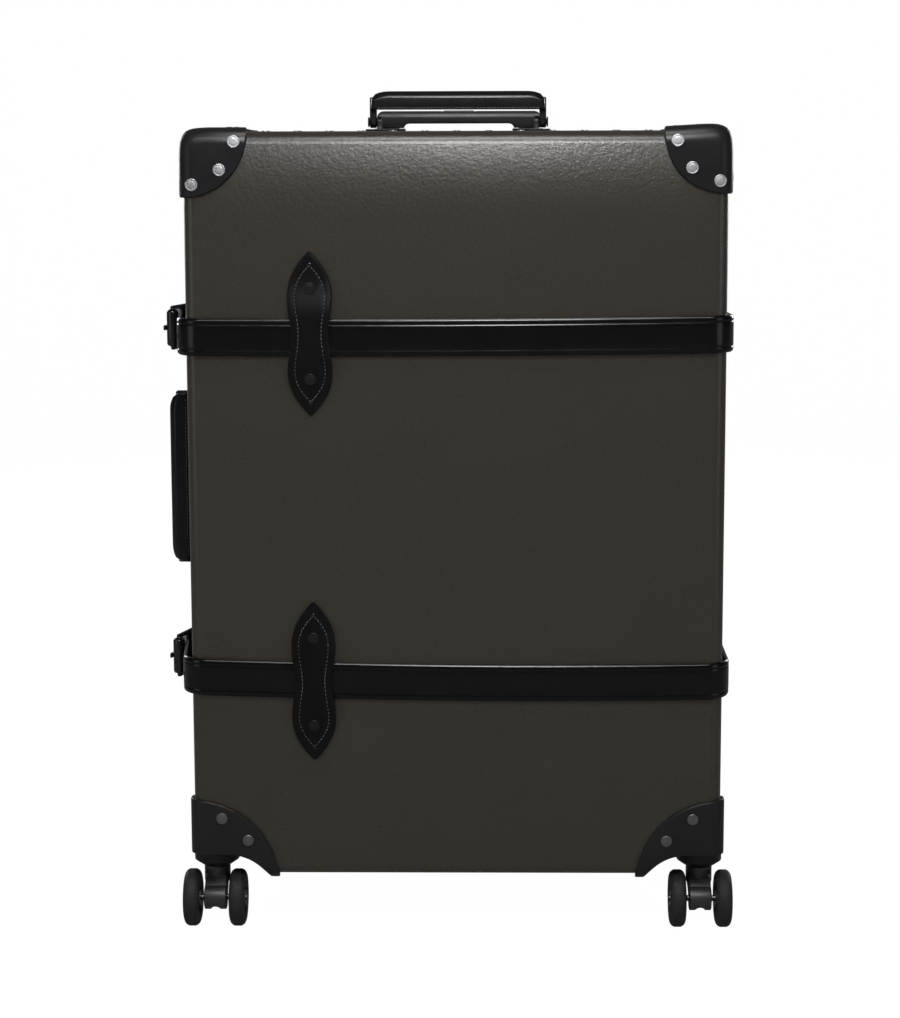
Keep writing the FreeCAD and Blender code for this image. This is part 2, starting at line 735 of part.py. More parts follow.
def buckle(z, where):
    full = (z - buckle_outside, z + buckle_outside)
    heel = rod(f"heel_{where}", "z", heel_radius, full, x=heel_x, y=heel_y)
    between = (z - buckle_inside, z + buckle_inside)
    roller = rod(f"roller_{where}", "z", roller_radius, between, x=roller_x, y=roller_y)
    bars = [heel, roller]
    half = buckle_bar / 2
    outline = [
        on_buckle(-half, -half), on_buckle(buckle_length + half, -half),
        on_buckle(buckle_length + half, half), on_buckle(-half, half),
    ]
    for hand, word in ((LEFT, "low"), (RIGHT, "high")):
        rails = span(hand, buckle_inside, buckle_outside)
        bars.append(prism(f"rail_{where}_{word}", "XY_Plane", outline, (z + rails[0], z + rails[1])))
    node(f"buckle_frame_{where}", fuse(f"buckle_frame_{where}", *bars))

    wide = about(z, prong_width)
    bore_radius = heel_radius + running_gap
    ring_radius = bore_radius + prong_thickness
    ring = rod(f"prong_ring_{where}", "z", ring_radius, wide, x=heel_x, y=heel_y)
    tip = buckle_length + prong_overhang
    over = roller_radius + face_gap
    blade_outline = [
        on_buckle(as_size(0), bore_radius), on_buckle(buckle_length, over), on_buckle(tip, over),
        on_buckle(tip, over + prong_thickness), on_buckle(buckle_length, over + prong_thickness),
        on_buckle(as_size(0), ring_radius),
    ]
    blade = prism(f"prong_blade_{where}", "XY_Plane", blade_outline, wide)
    bore = rod(f"prong_bore_{where}", "z", bore_radius, wide, x=heel_x, y=heel_y)
    prong = fuse(f"prong_body_{where}", ring, blade)
    node(f"buckle_prong_{where}", cut(f"buckle_prong_{where}", prong, bore))


buckle(upper_z, "upper")
buckle(lower_z, "lower")


# Straps: leather ribbons that follow the case in plan, bent round its edges

def ribbon(path, bends, thickness):
    """The face of a ribbon along a path of straight runs and tangent bends, given by its middle line."""
    points = [FreeCAD.Vector(float(x), float(y), 0) for x, y in path]
    half = thickness / 2
    lines = {half: [], -half: []}
    for side, edges in lines.items():
        start = points[0] + left_of(points[0], points[1]) * side
        for index, radius in enumerate(bends, 1):
            before, corner, after = points[index - 1:index + 2]
            first = (corner - before).normalize()
            second = (after - corner).normalize()
            turn = math.atan2(first.cross(second).z, first.dot(second))
            setback = radius * math.tan(abs(turn) / 2)
            towards = left_of(before, corner) * (1 if turn > 0 else -1)
            centre = corner - first * setback + towards * radius
            bisector = (corner - centre).normalize()
            arc_radius = radius - side * (1 if turn > 0 else -1)
            enter = corner - first * setback + left_of(before, corner) * side
            leave = corner + second * setback + left_of(corner, after) * side
            edges.append(Part.LineSegment(start, enter).toShape())
            edges.append(Part.Arc(enter, centre + bisector * arc_radius, leave).toShape())
            start = leave
        edges.append(Part.LineSegment(start, points[-1] + left_of(points[-2], points[-1]) * side).toShape())
    ends = []
    for here, there in ((points[0], points[1]), (points[-2], points[-1])):
        end = here if here is points[0] else there
        across = left_of(here, there) * half
        ends.append(Part.LineSegment(end + across, end - across).toShape())
    outline = Part.sortEdges(lines[half] + lines[-half] + ends)[0]
    return Part.Face(Part.Wire(outline))


def left_of(start, end):
    heading = (end - start).normalize()
    return FreeCAD.Vector(-heading.y, heading.x, 0)


def lifted(face, z, width):
    face = face.copy()
    face.translate(FreeCAD.Vector(0, 0, float(z) - float(width) / 2))
    return face.extrude(FreeCAD.Vector(0, 0, float(width)))


def box_between(x, y, z):
    low = FreeCAD.Vector(float(x[0]), float(y[0]), float(z[0]))
    return Part.makeBox(float(x[1]) - low.x, float(y[1]) - low.y, float(z[1]) - low.z, low)


half_strap = strap_thickness / 2
strap_middle = strap_gap + half_strap
edge_bend = float(face_round + strap_middle)
GENTLE_BEND = 60
KEEPER_BEND = 20
fold_inner = heel_radius + face_gap
fold_outer = fold_inner + fold_thickness
heel_bend = float(fold_outer + face_gap + half_strap)
roller_x_inside = roller_x + roller_radius + face_gap + half_strap
chape_x = -side_x - chape_gap - half_strap
tongue_x = chape_x - strap_thickness - face_gap * 2
keeper_y = parting_y + keeper_behind
tongue_y = parting_y + tongue_behind
front_line = front_y - strap_middle
back_line = back_y + strap_middle
right_line = side_x + strap_middle
left_line = -side_x - strap_middle


def heel_corner(before, after):
    """Where the runs on either side of the heel bar would meet, each being tangent to the bend round it."""
    heel = FreeCAD.Vector(float(heel_x), float(heel_y), 0)
    lines = []
    for place, turn in ((before, 1), (after, -1)):
        start = FreeCAD.Vector(float(place[0]), float(place[1]), 0)
        towards = heel - start
        swing = math.asin(heel_bend / towards.Length) * turn
        angle = math.atan2(towards.y, towards.x) + swing
        lines.append((start, FreeCAD.Vector(math.cos(angle), math.sin(angle), 0)))
    (first, along), (second, back) = lines
    apart = second - first
    distance = apart.cross(back).z / along.cross(back).z
    corner = first + along * distance
    return corner.x, corner.y


def front_strap(z):
    """From the hinge side across the front, under the roller, over the heel bar and through the keeper."""
    under = (roller_x_inside, roller_y)
    into_keeper = (tongue_x, keeper_y - keeper_width)
    path = [
        (right_line, parting_y - face_gap), (right_line, front_line), (left_line, front_line),
        under, heel_corner(under, into_keeper), into_keeper, (tongue_x, tongue_y),
    ]
    bends = [edge_bend, edge_bend, GENTLE_BEND, heel_bend, KEEPER_BEND]
    strap = lifted(ribbon(path, bends, float(strap_thickness)), z, strap_width)
    across = (heel_x - (fold_outer + strap_thickness) * 2, -side_x)
    slot_y = (heel_y - roller_ahead / 2, heel_y - face_gap)
    strap = strap.cut(box_between(across, slot_y, about(z, prong_width + face_gap * 4)))
    for step in (-2, -3, -4):
        start = FreeCAD.Vector(float(across[0]), float(heel_y + hole_pitch * step), float(z))
        length = float(across[1] - across[0])
        strap = strap.cut(Part.makeCylinder(float(hole_radius), length, start, FreeCAD.Vector(1, 0, 0)))
    return strap


def rear_strap(z):
    """From the hinge side round the back to the buckle, where its end folds round the heel bar."""
    fold_middle = fold_inner + fold_thickness / 2
    path = [
        (right_line, parting_y + face_gap), (right_line, back_line), (left_line, back_line),
        (chape_x, keeper_y + keeper_width * 2), (chape_x, keeper_y - keeper_width),
        (heel_x + fold_middle, heel_y),
    ]
    bends = [edge_bend, edge_bend, GENTLE_BEND, GENTLE_BEND]
    band = lifted(ribbon(path, bends, float(strap_thickness)), z, strap_width)
    base = FreeCAD.Vector(float(heel_x), float(heel_y), float(z - strap_width / 2))
    fold = Part.makeCylinder(float(fold_outer), float(strap_width), base)
    eye = Part.makeCylinder(float(fold_inner), float(strap_width), base)
    room = fold_outer + fold_inner
    prong_room = about(z, prong_width + face_gap * 4)
    gap = box_between(about(heel_x, room * 2), about(heel_y, room * 2), prong_room)
    return band.fuse(fold).removeSplitter().cut(eye).cut(gap)


shaped("front_straps", [front_strap(upper_z), front_strap(lower_z)])
shaped("rear_straps", [rear_strap(upper_z), rear_strap(lower_z)])

keepers = []
for z, where in ((upper_z, "upper"), (lower_z, "lower")):
    inside_x = (tongue_x - half_strap - face_gap, chape_x + half_strap + face_gap)
    outside_x = (inside_x[0] - keeper_thickness, inside_x[1] + keeper_thickness)
    inside_z = about(z, strap_width + face_gap * 2)
    outside_z = (inside_z[0] - keeper_thickness, inside_z[1] + keeper_thickness)
    long_y = about(keeper_y, keeper_width)
    band = block(f"keeper_band_{where}", outside_x, long_y, outside_z)
    way = block(f"keeper_way_{where}", inside_x, long_y, inside_z)
    keepers.append(cut(f"keeper_{where}", band, way))
node("strap_keepers", group("strap_keepers", *keepers))


# Strap loops: pointed leather tabs, drawn in at the waist, that bridge the straps

def loop_outline():
    tip = float(loop_length) / 2
    shoulder = float(loop_shoulder) / 2
    broad = float(loop_width) / 2
    waist = float(loop_waist) / 2
    rise = shoulder + (tip - shoulder) * 0.55
    bulge = broad * 0.7

    def place(x, z):
        return FreeCAD.Vector(x, 0, z)

    arcs = []
    for hand in (LEFT, RIGHT):
        high = place(broad * hand, shoulder)
        low = place(broad * hand, -shoulder)
        arcs.append(Part.Arc(place(0, tip), place(bulge * hand, rise), high))
        arcs.append(Part.Arc(high, place(waist * hand, 0), low))
        arcs.append(Part.Arc(low, place(bulge * hand, -rise), place(0, -tip)))
    edges = Part.sortEdges([arc.toShape() for arc in arcs])[0]
    return Part.Face(Part.Wire(edges))


def strap_loop(face, z):
    """The tab's outline, cut out of a sheet that steps up over the strap."""
    tip = float(loop_length) / 2
    flat = float(strap_width) / 2 + float(strap_thickness) + float(face_gap)
    under = float(strap_gap + strap_thickness + face_gap)
    step = float(strap_width) / 2 + float(face_gap)
    thick = float(loop_thickness)
    lower = [(-tip, 0), (-flat, 0), (-step, under), (step, under), (flat, 0), (tip, 0)]
    over = under + thick
    upper = [(tip, thick), (flat, thick), (step, over), (-step, over), (-flat, thick), (-tip, thick)]
    far = float(front_y if face == FRONT else back_y)
    half = float(loop_width)
    corners = [FreeCAD.Vector(-half, out * face, up) for up, out in lower + upper]
    sheet_face = Part.Face(Part.makePolygon(corners + corners[:1]))
    bent = sheet_face.extrude(FreeCAD.Vector(half * 2, 0, 0))
    reach = over * 2
    outline = loop_outline()
    outline.translate(FreeCAD.Vector(0, -reach, 0))
    made = bent.common(outline.extrude(FreeCAD.Vector(0, reach * 2, 0)))
    made.translate(FreeCAD.Vector(float(loop_x), far, float(z)))
    return made.Solids[0]


def loop_rivets(face):
    far = float(front_y if face == FRONT else back_y)
    master = rivet(rivet_radius, rivet_height, loop_thickness + shell_wall)
    made = []
    for z in (upper_z, lower_z):
        for sign in (1, -1):
            up = float(z + loop_rivet_spacing / 2 * sign)
            made.append(seated(master, (loop_x, far + face * float(loop_thickness), up), (0, face, 0)))
    return made


shaped("front_strap_loops", [strap_loop(FRONT, upper_z), strap_loop(FRONT, lower_z)])
shaped("rear_strap_loops", [strap_loop(BACK, upper_z), strap_loop(BACK, lower_z)])
shaped("front_loop_rivets", loop_rivets(FRONT))
shaped("rear_loop_rivets", loop_rivets(BACK))


# Carry handles: a leather grip between two arms that swing on the brackets' pins

def on_top(along, out):
    """A stretch along the handle and one away from the case, as spans of x and z on the top."""
    return {"x": along, "z": (top_z + out[0], top_z + out[1])}


def on_side(along, out):
    """The same on the left side, as spans of z and x."""
    middle = fitting_z + side_handle_rise
    return {"z": (middle + along[0], middle + along[1]), "x": (-side_x - out[1], -side_x - out[0])}


def handle(name, lay, axis, plane):
    """A grip, its arms and their brackets, laid out on the top or on the side of the base."""
    half = handle_length / 2
    inner = half - arm_thickness
    across = about(handle_y, arm_width)
    grip_y = about(handle_y, grip_width)
    grip_out = (handle_hand_gap, handle_out)
    grip_spans = lay(span(RIGHT, -inner, inner), grip_out)
    if plane == "YZ_Plane":
        corners = rectangle(grip_y, grip_spans["z"])
        outer, bottom = grip_spans["z"][1], grip_spans["z"][0]
    else:
        corners = rectangle(grip_spans["x"], grip_y)
        outer, bottom = grip_spans["x"][0], grip_spans["x"][1]
    out_axis = "z" if plane == "YZ_Plane" else "x"
    body = prism(f"{name}_body", plane, corners, grip_spans[axis])
    soften(body, grip_round, lambda points: all(near(getattr(p, out_axis), outer) for p in points))

    def lower_edges(points):
        low = all(near(getattr(p, out_axis), bottom) for p in points)
        return low and near(points[0].y, points[-1].y)

    soften(body, grip_edge_round, lower_edges)

    middle_out = (grip_out[0] + grip_out[1]) / 2
    arms = []
    brackets = []
    pegs = []
    for hand, word in ((LEFT, "a"), (RIGHT, "b")):
        where = f"{name}_{word}"

        def bar(part, radius, along, out):
            spans = lay(span(hand, *along), (out, out))
            place = {other: spans[other][0] for other in spans if other != axis}
            return rod(f"{part}_{where}", axis, radius, spans[axis], y=handle_y, **place)

        def brick(part, along, y, out):
            return block(f"{part}_{where}", **{"y": y, **lay(span(hand, *along), out)})

        peg_end = inner - arm_peg_length
        peg = bar("peg", arm_peg_radius, (peg_end, inner + arm_thickness / 2), middle_out)
        pegs.append(bar("peg_hole", arm_peg_radius, (peg_end, inner), middle_out))
        post = brick("post", (inner, half), across, (arm_pivot_height, handle_out - grip_round))
        eye = bar("eye", arm_width / 2, (inner, half), arm_pivot_height)
        pivot_bore = bar("pivot_bore", pivot_radius + running_gap, (inner, half), arm_pivot_height)
        arms.append(cut(f"arm_{where}", fuse(f"arm_body_{where}", post, eye, peg), pivot_bore))

        ear_end = inner - face_gap
        ear_start = ear_end - bracket_ear
        foot_along = (ear_start - bracket_flare, half + bracket_flare)
        foot = brick("foot", foot_along, about(handle_y, bracket_width), (as_size(0), bracket_foot))
        ear = brick("ear", (ear_start, ear_end), across, (bracket_foot, arm_pivot_height))
        ear_top = bar("ear_top", arm_width / 2, (ear_start, ear_end), arm_pivot_height)
        pin_end = half + face_gap
        pin = bar("pin", pivot_radius, (ear_start, pin_end), arm_pivot_height)
        head = bar("pin_head", pivot_head_radius, (pin_end, pin_end + pivot_head), arm_pivot_height)
        brackets.append(fuse(f"bracket_{where}", foot, ear, ear_top, pin, head))
    node(f"{name}_grip", cut(f"{name}_grip", body, *pegs))
    node(f"{name}_arms", group(f"{name}_arms", *arms))
    return brackets


top_brackets = handle("top_handle", on_top, "x", "YZ_Plane")
side_brackets = handle("side_handle", on_side, "z", "XY_Plane")
node("handle_brackets", group("handle_brackets", *top_brackets, *side_brackets))


# Trolley: fixed outer tubes, sliding inner tubes, and a grip with a release button

inner_width = tube_width - (tube_wall + slide_gap) * 2
inner_depth = tube_depth - (tube_wall + slide_gap) * 2
grip_base_z = top_z + bezel_height + face_gap
grip_top_z = top_z + trolley_top
bar_z = grip_top_z - trolley_bar
inner_top_z = grip_top_z - tube_wall * 2
outer_tubes = []
inner_tubes = []
bezels = []
sockets = []
for side, word in ((LEFT, "left"), (RIGHT, "right")):
    tube_x = trolley_spacing / 2 * side
    outer_z = (bottom_z + shell_wall, top_z)
    inner_z = (top_z - inner_tube_length, inner_top_z)
    outer = block(f"outer_tube_{word}", about(tube_x, tube_width), about(trolley_y, tube_depth), outer_z)
    wide = about(tube_x, tube_width - tube_wall * 2)
    deep = about(trolley_y, tube_depth - tube_wall * 2)
    outer_tubes.append(cut(f"outer_{word}", outer, block(f"outer_bore_{word}", wide, deep, outer_z)))
    inner = block(f"inner_tube_{word}", about(tube_x, inner_width), about(trolley_y, inner_depth), inner_z)
    thin = about(tube_x, inner_width - tube_wall * 2)
    slim = about(trolley_y, inner_depth - tube_wall * 2)
    inner_tubes.append(cut(f"inner_{word}", inner, block(f"inner_bore_{word}", thin, slim, inner_z)))
    rim_x = about(tube_x, tube_width + bezel_margin * 2)
    rim_y = about(trolley_y, tube_depth + bezel_margin * 2)
    bezel_z = (top_z, top_z + bezel_height)
    plate = block(f"bezel_plate_{word}", rim_x, rim_y, bezel_z)
    way_x = about(tube_x, inner_width + slide_gap * 2)
    way_y = about(trolley_y, inner_depth + slide_gap * 2)
    bezels.append(cut(f"bezel_{word}", plate, block(f"bezel_way_{word}", way_x, way_y, bezel_z)))
    socket_z = (grip_base_z, inner_top_z)
    socket_x = about(tube_x, inner_width)
    sockets.append(block(f"socket_{word}", socket_x, about(trolley_y, inner_depth), socket_z))
node("trolley_outer_tubes", group("trolley_outer_tubes", *outer_tubes))
node("trolley_inner_tubes", group("trolley_inner_tubes", *inner_tubes))
node("trolley_bezels", group("trolley_bezels", *bezels))

grip_half = trolley_width / 2
gap_half = grip_half - trolley_leg
arch = [
    (-grip_half, grip_base_z), (-gap_half, grip_base_z), (-gap_half, bar_z), (gap_half, bar_z),
    (gap_half, grip_base_z), (grip_half, grip_base_z), (grip_half, grip_top_z), (-grip_half, grip_top_z),
]
trolley_body = prism("trolley_body", "XZ_Plane", arch, about(trolley_y, trolley_deep))


def outer_corners(points):
    return all(near(abs(p.x), grip_half) and near(p.z, grip_top_z) for p in points)


soften(trolley_body, trolley_round, outer_corners)
button_x = about(as_size(0), button_length)
button_y = about(trolley_y, button_width)
button_z = (grip_top_z + button_proud - button_height, grip_top_z + button_proud)
pocket = block(
    "button_pocket", (button_x[0] - slide_gap, button_x[1] + slide_gap),
    (button_y[0] - slide_gap, button_y[1] + slide_gap),
    (button_z[0] - button_travel - slide_gap, grip_top_z + button_proud),
)
node("trolley_grip", cut("trolley_grip", trolley_body, pocket, *sockets))
node("trolley_button", block("trolley_button", button_x, button_y, button_z))


# Hinges: three butt hinges with two knuckles on the lid and three on the base

hinge_x = side_x + hinge_out
KNUCKLES = 5


def hinge(z, where):
    """The lid's leaf, the base's leaf and the pin of one hinge."""
    low = z - hinge_length / 2
    share = hinge_length / KNUCKLES
    plate_x = (side_x, side_x + leaf_thickness)
    clear = knuckle_radius + face_gap
    leaves = {}
    for face, half in ((FRONT, "lid"), (BACK, "base")):
        ends = span(face, clear, hinge_leaf)
        plate_y = (parting_y + ends[0], parting_y + ends[1])
        pieces = [block(f"leaf_{half}_{where}", plate_x, plate_y, (low, low + hinge_length))]
        start = 1 if face == FRONT else 0
        for number in range(start, KNUCKLES, 2):
            knuckle_z = (low + share * number + running_gap, low + share * (number + 1) - running_gap)
            tag = f"{half}_{where}_{number}"
            pieces.append(rod(f"knuckle_{tag}", "z", knuckle_radius, knuckle_z, x=hinge_x, y=parting_y))
            tab = span(face, 0, clear)
            tab_y = (parting_y + tab[0], parting_y + tab[1])
            pieces.append(block(f"tab_{tag}", (side_x + face_gap, side_x + leaf_thickness), tab_y, knuckle_z))
        hinge_bore = rod(
            f"hinge_bore_{half}_{where}", "z", hinge_pin_radius + running_gap, (low, low + hinge_length),
            x=hinge_x, y=parting_y,
        )
        leaves[half] = cut(f"hinge_{half}_{where}", fuse(f"leaf_body_{half}_{where}", *pieces), hinge_bore)
    pin = rod(f"hinge_pin_{where}", "z", hinge_pin_radius, (low, low + hinge_length), x=hinge_x, y=parting_y)
    return leaves["lid"], leaves["base"], pin


hinges = [hinge(mid_z + hinge_spacing * step, f"at_{step + 1}") for step in (-1, 0, 1)]
node("lid_hinge_leaves", group("lid_hinge_leaves", *[parts[0] for parts in hinges]))
node("base_hinge_leaves", group("base_hinge_leaves", *[parts[1] for parts in hinges]))
node("hinge_pins", group("hinge_pins", *[parts[2] for parts in hinges]))


# Locks: a hasp on the lid whose tongue enters a case on the base, where a sliding bolt catches it

def left_span(near_out, far_out):
    """A stretch away from the case's left side."""
    return -side_x - far_out, -side_x - near_out


def lock(z, where):
    """The hasp and the case of one lock; the bolt becomes a sub-part here."""
    tongue_out = (tongue_lift, tongue_lift + tongue_plate)
    tongue_end = parting_y + tongue_entry
    tongue_z = about(z, tongue_height)
    bolt_y = (parting_y + bolt_back, parting_y + bolt_back + bolt_width)
    bolt_z = (tongue_z[0] - lock_gap - bolt_length, tongue_z[0] - lock_gap)

    plate_y = (parting_y - hasp_depth, parting_y - lock_setback)
    plate = block(f"hasp_plate_{where}", left_span(as_size(0), hasp_plate), plate_y, about(z, hasp_height))
    riser_y = (parting_y - hasp_depth / 2, parting_y - lock_setback)
    riser = block(f"hasp_riser_{where}", left_span(hasp_plate / 2, tongue_out[1]), riser_y, tongue_z)
    bar = block(f"hasp_tongue_{where}", left_span(*tongue_out), (riser_y[0], tongue_end), tongue_z)
    notch_y = (bolt_y[0] - lock_gap, bolt_y[1] + lock_gap)
    notch_z = (tongue_z[0], tongue_z[0] + bolt_travel)
    inside_out = (tongue_out[0] - lock_gap, tongue_out[1] + lock_gap)
    notch = block(f"hasp_notch_{where}", left_span(*inside_out), notch_y, notch_z)
    hasp = cut(f"hasp_{where}", fuse(f"hasp_body_{where}", plate, riser, bar), notch)

    case_y = (parting_y + lock_setback, parting_y + lock_setback + lock_depth)
    case = block(f"lock_block_{where}", left_span(as_size(0), lock_thickness), case_y, about(z, lock_height))
    mouth_z = (tongue_z[0] - lock_gap, tongue_z[1] + lock_gap)
    mouth = block(f"lock_mouth_{where}", left_span(*inside_out), (parting_y, tongue_end + lock_gap), mouth_z)
    race_y = (bolt_y[0] - slide_gap, bolt_y[1] + slide_gap)
    race = block(f"lock_race_{where}", left_span(*inside_out), race_y, (bolt_z[0] - slide_gap, mouth_z[0]))
    stem_y = (bolt_y[0] + slide_gap * 3, bolt_y[1] - slide_gap * 3)
    stem_z = about((bolt_z[0] + bolt_z[1]) / 2, bolt_length / 2)
    slot_y = (stem_y[0] - slide_gap, stem_y[1] + slide_gap)
    slot_z = (stem_z[0] - slide_gap, stem_z[1] + bolt_travel + slide_gap)
    slot = block(f"lock_slot_{where}", left_span(tongue_out[1], lock_thickness), slot_y, slot_z)
    lock_case = cut(f"lock_case_{where}", case, mouth, race, slot)

    bolt = block(f"bolt_{where}", left_span(*tongue_out), bolt_y, bolt_z)
    knob_out = (lock_thickness + slide_gap, lock_thickness + slide_gap + knob_height)
    stem = block(f"bolt_stem_{where}", left_span(tongue_out[1], knob_out[1]), stem_y, stem_z)
    knob_y = (bolt_y[0] - slide_gap * 4, bolt_y[1] + slide_gap * 4)
    knob_z = about((stem_z[0] + stem_z[1]) / 2, knob_length)
    knob = block(f"bolt_knob_{where}", left_span(*knob_out), knob_y, knob_z)
    node(f"lock_slider_{where}", fuse(f"lock_slider_{where}", bolt, stem, knob))
    return hasp, lock_case


locks = [lock(fitting_z + lock_spacing / 2, "upper"), lock(fitting_z - lock_spacing / 2, "lower")]
node("lock_hasps", group("lock_hasps", *[parts[0] for parts in locks]))
node("lock_cases", group("lock_cases", *[parts[1] for parts in locks]))


# Checks, then one file for each sub-part

doc.recompute()
for made in doc.Objects:
    if "Invalid" in made.State or "Error" in made.State:
        raise RuntimeError(f"{made.Label} failed: {made.State}")
for made in nodes:
    if made.Shape.isNull() or not made.Shape.isValid() or not made.Shape.Solids:
        raise RuntimeError(f"{made.Label} has no valid solid")

os.makedirs("parts", exist_ok=True)
for made in nodes:
    made.Shape.exportStep(f"parts/{made.Label}.step")
print(f"{len(nodes)} sub-parts, {sum(len(made.Shape.Solids) for made in nodes)} solids")
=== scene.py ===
import json
import math

import bpy
from mathutils import Matrix, Vector
from mathutils.bvhtree import BVHTree


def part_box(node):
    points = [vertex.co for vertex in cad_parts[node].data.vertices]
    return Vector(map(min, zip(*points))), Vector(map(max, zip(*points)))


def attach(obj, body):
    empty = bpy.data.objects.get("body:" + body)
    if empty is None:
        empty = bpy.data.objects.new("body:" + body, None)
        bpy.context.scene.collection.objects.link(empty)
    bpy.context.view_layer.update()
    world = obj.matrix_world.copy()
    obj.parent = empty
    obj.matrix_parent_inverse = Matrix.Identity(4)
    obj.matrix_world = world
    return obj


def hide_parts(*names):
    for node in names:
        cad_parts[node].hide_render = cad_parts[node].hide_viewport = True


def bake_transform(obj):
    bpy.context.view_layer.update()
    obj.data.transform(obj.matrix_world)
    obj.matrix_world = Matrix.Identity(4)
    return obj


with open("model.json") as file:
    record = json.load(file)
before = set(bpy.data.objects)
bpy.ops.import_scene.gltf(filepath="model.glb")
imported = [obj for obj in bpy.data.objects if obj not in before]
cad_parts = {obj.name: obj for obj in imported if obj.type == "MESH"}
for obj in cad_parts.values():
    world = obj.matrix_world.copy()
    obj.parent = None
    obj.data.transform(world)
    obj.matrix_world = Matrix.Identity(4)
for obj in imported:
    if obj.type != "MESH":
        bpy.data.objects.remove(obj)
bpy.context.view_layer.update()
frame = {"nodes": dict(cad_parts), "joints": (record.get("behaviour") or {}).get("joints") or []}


# The studio: a white floor that sweeps up into a backdrop, lamps high in front, and softer ones all round.
# The camera stands in front at the height of the case's top, and looks a little down.

class Link:
    """One output of a finish's nodes. Sums and products of links add Math nodes."""

    def __init__(self, finish, socket):
        self.finish = finish
        self.socket = socket

    def math(self, operation, first, second):
        return self.finish.add("ShaderNodeMath", {"operation": operation}, {0: first, 1: second})

    def __add__(self, other):
        return self.math("ADD", self, other)

    def __radd__(self, other):
        return self.math("ADD", other, self)

    def __sub__(self, other):
        return self.math("SUBTRACT", self, other)

    def __rsub__(self, other):
        return self.math("SUBTRACT", other, self)

    def __mul__(self, other):
        return self.math("MULTIPLY", self, other)

    def __rmul__(self, other):
        return self.math("MULTIPLY", other, self)

    def __pow__(self, other):
        return self.math("POWER", self, other)

    def __rpow__(self, other):
        return self.math("POWER", other, self)


class Finish:
    """A material or the studio's air: its shader's own sockets, and one method that adds any other node."""

    def __init__(self, name, air=False):
        self.material = bpy.data.worlds.new(name) if air else bpy.data.materials.new(name)
        self.material.use_nodes = True
        self.tree = self.material.node_tree
        self.shader = self.tree.nodes["Background" if air else "Principled BSDF"]

    def plug(self, socket, value):
        if isinstance(value, Link):
            self.tree.links.new(value.socket, socket)
        elif isinstance(value, tuple) and len(value) == 3 and socket.type == "RGBA":
            socket.default_value = (*value, 1)
        else:
            socket.default_value = value

    def add(self, kind, settings=None, sockets=None, output=0):
        """Adds a node: its settings first, then what its sockets hold, by name or number."""
        made = self.tree.nodes.new(kind)
        for setting, value in (settings or {}).items():
            setattr(made, setting, value)
        for socket, value in (sockets or {}).items():
            self.plug(made.inputs[socket], value)
        return Link(self, made.outputs[output])

    def mix(self, share, first, second):
        return self.add("ShaderNodeMix", {"data_type": "RGBA"}, {0: share, 6: first, 7: second}, output=2)

    def place(self):
        return self.add("ShaderNodeTexCoord", output="Object")

    def noise(self, place, scale, detail=2.0, roughness=0.5):
        sockets = {"Vector": place, "Scale": scale, "Detail": detail, "Roughness": roughness}
        return self.add("ShaderNodeTexNoise", {}, sockets)

    def bump(self, height, strength, distance):
        sockets = {"Strength": strength, "Distance": distance, "Height": height}
        return self.add("ShaderNodeBump", {}, sockets)

    def surface(self, **sockets):
        for socket, value in sockets.items():
            self.plug(self.shader.inputs[socket.replace("_", " ")], value)
        return self


def pick(piece, kind, test):
    """Enters edit mode with only those vertices, edges or faces selected whose places pass the test."""
    bpy.ops.object.mode_set(mode="EDIT")
    bpy.ops.mesh.select_mode(type=kind)
    bpy.ops.mesh.select_all(action="DESELECT")
    bpy.ops.object.mode_set(mode="OBJECT")
    mesh = piece.data
    for element in {"VERT": mesh.vertices, "EDGE": mesh.edges, "FACE": mesh.polygons}[kind]:
        corners = [element.index] if kind == "VERT" else element.vertices
        element.select = test([mesh.vertices[corner].co for corner in corners])
    bpy.ops.object.mode_set(mode="EDIT")


def lamp(name, place, aim, width, height, power, glare=True):
    """A soft box turned to its aim; one without glare lights the case but leaves no reflection."""
    bpy.ops.object.light_add(type="AREA", location=place)
    made = bpy.context.object
    made.name = name
    made.data.shape = "RECTANGLE"
    made.data.size = width
    made.data.size_y = height
    made.data.energy = power
    made.visible_glossy = glare
    made.rotation_euler = (Vector(aim) - Vector(place)).to_track_quat("-Z", "Y").to_euler()
    return made


CAMERA_PLACE = (0.0354, -2.4894, 0.7861)
CAMERA_YAW = math.radians(1.01)
CAMERA_PITCH = math.radians(8.74)
CAMERA_ROLL = math.radians(-0.17)
FOCAL_LENGTH = 86.9
bpy.ops.object.select_all(action="DESELECT")
bpy.ops.object.camera_add(location=CAMERA_PLACE)
camera = bpy.context.object
camera.name = "front_camera"
tilt = Matrix.Rotation(math.pi / 2 - CAMERA_PITCH, 3, "X") @ Matrix.Rotation(CAMERA_ROLL, 3, "Z")
camera.rotation_euler = (Matrix.Rotation(CAMERA_YAW, 3, "Z") @ tilt).to_euler()
camera.data.lens = FOCAL_LENGTH
bpy.context.scene.camera = camera
bpy.context.scene.view_settings.view_transform = "Standard"

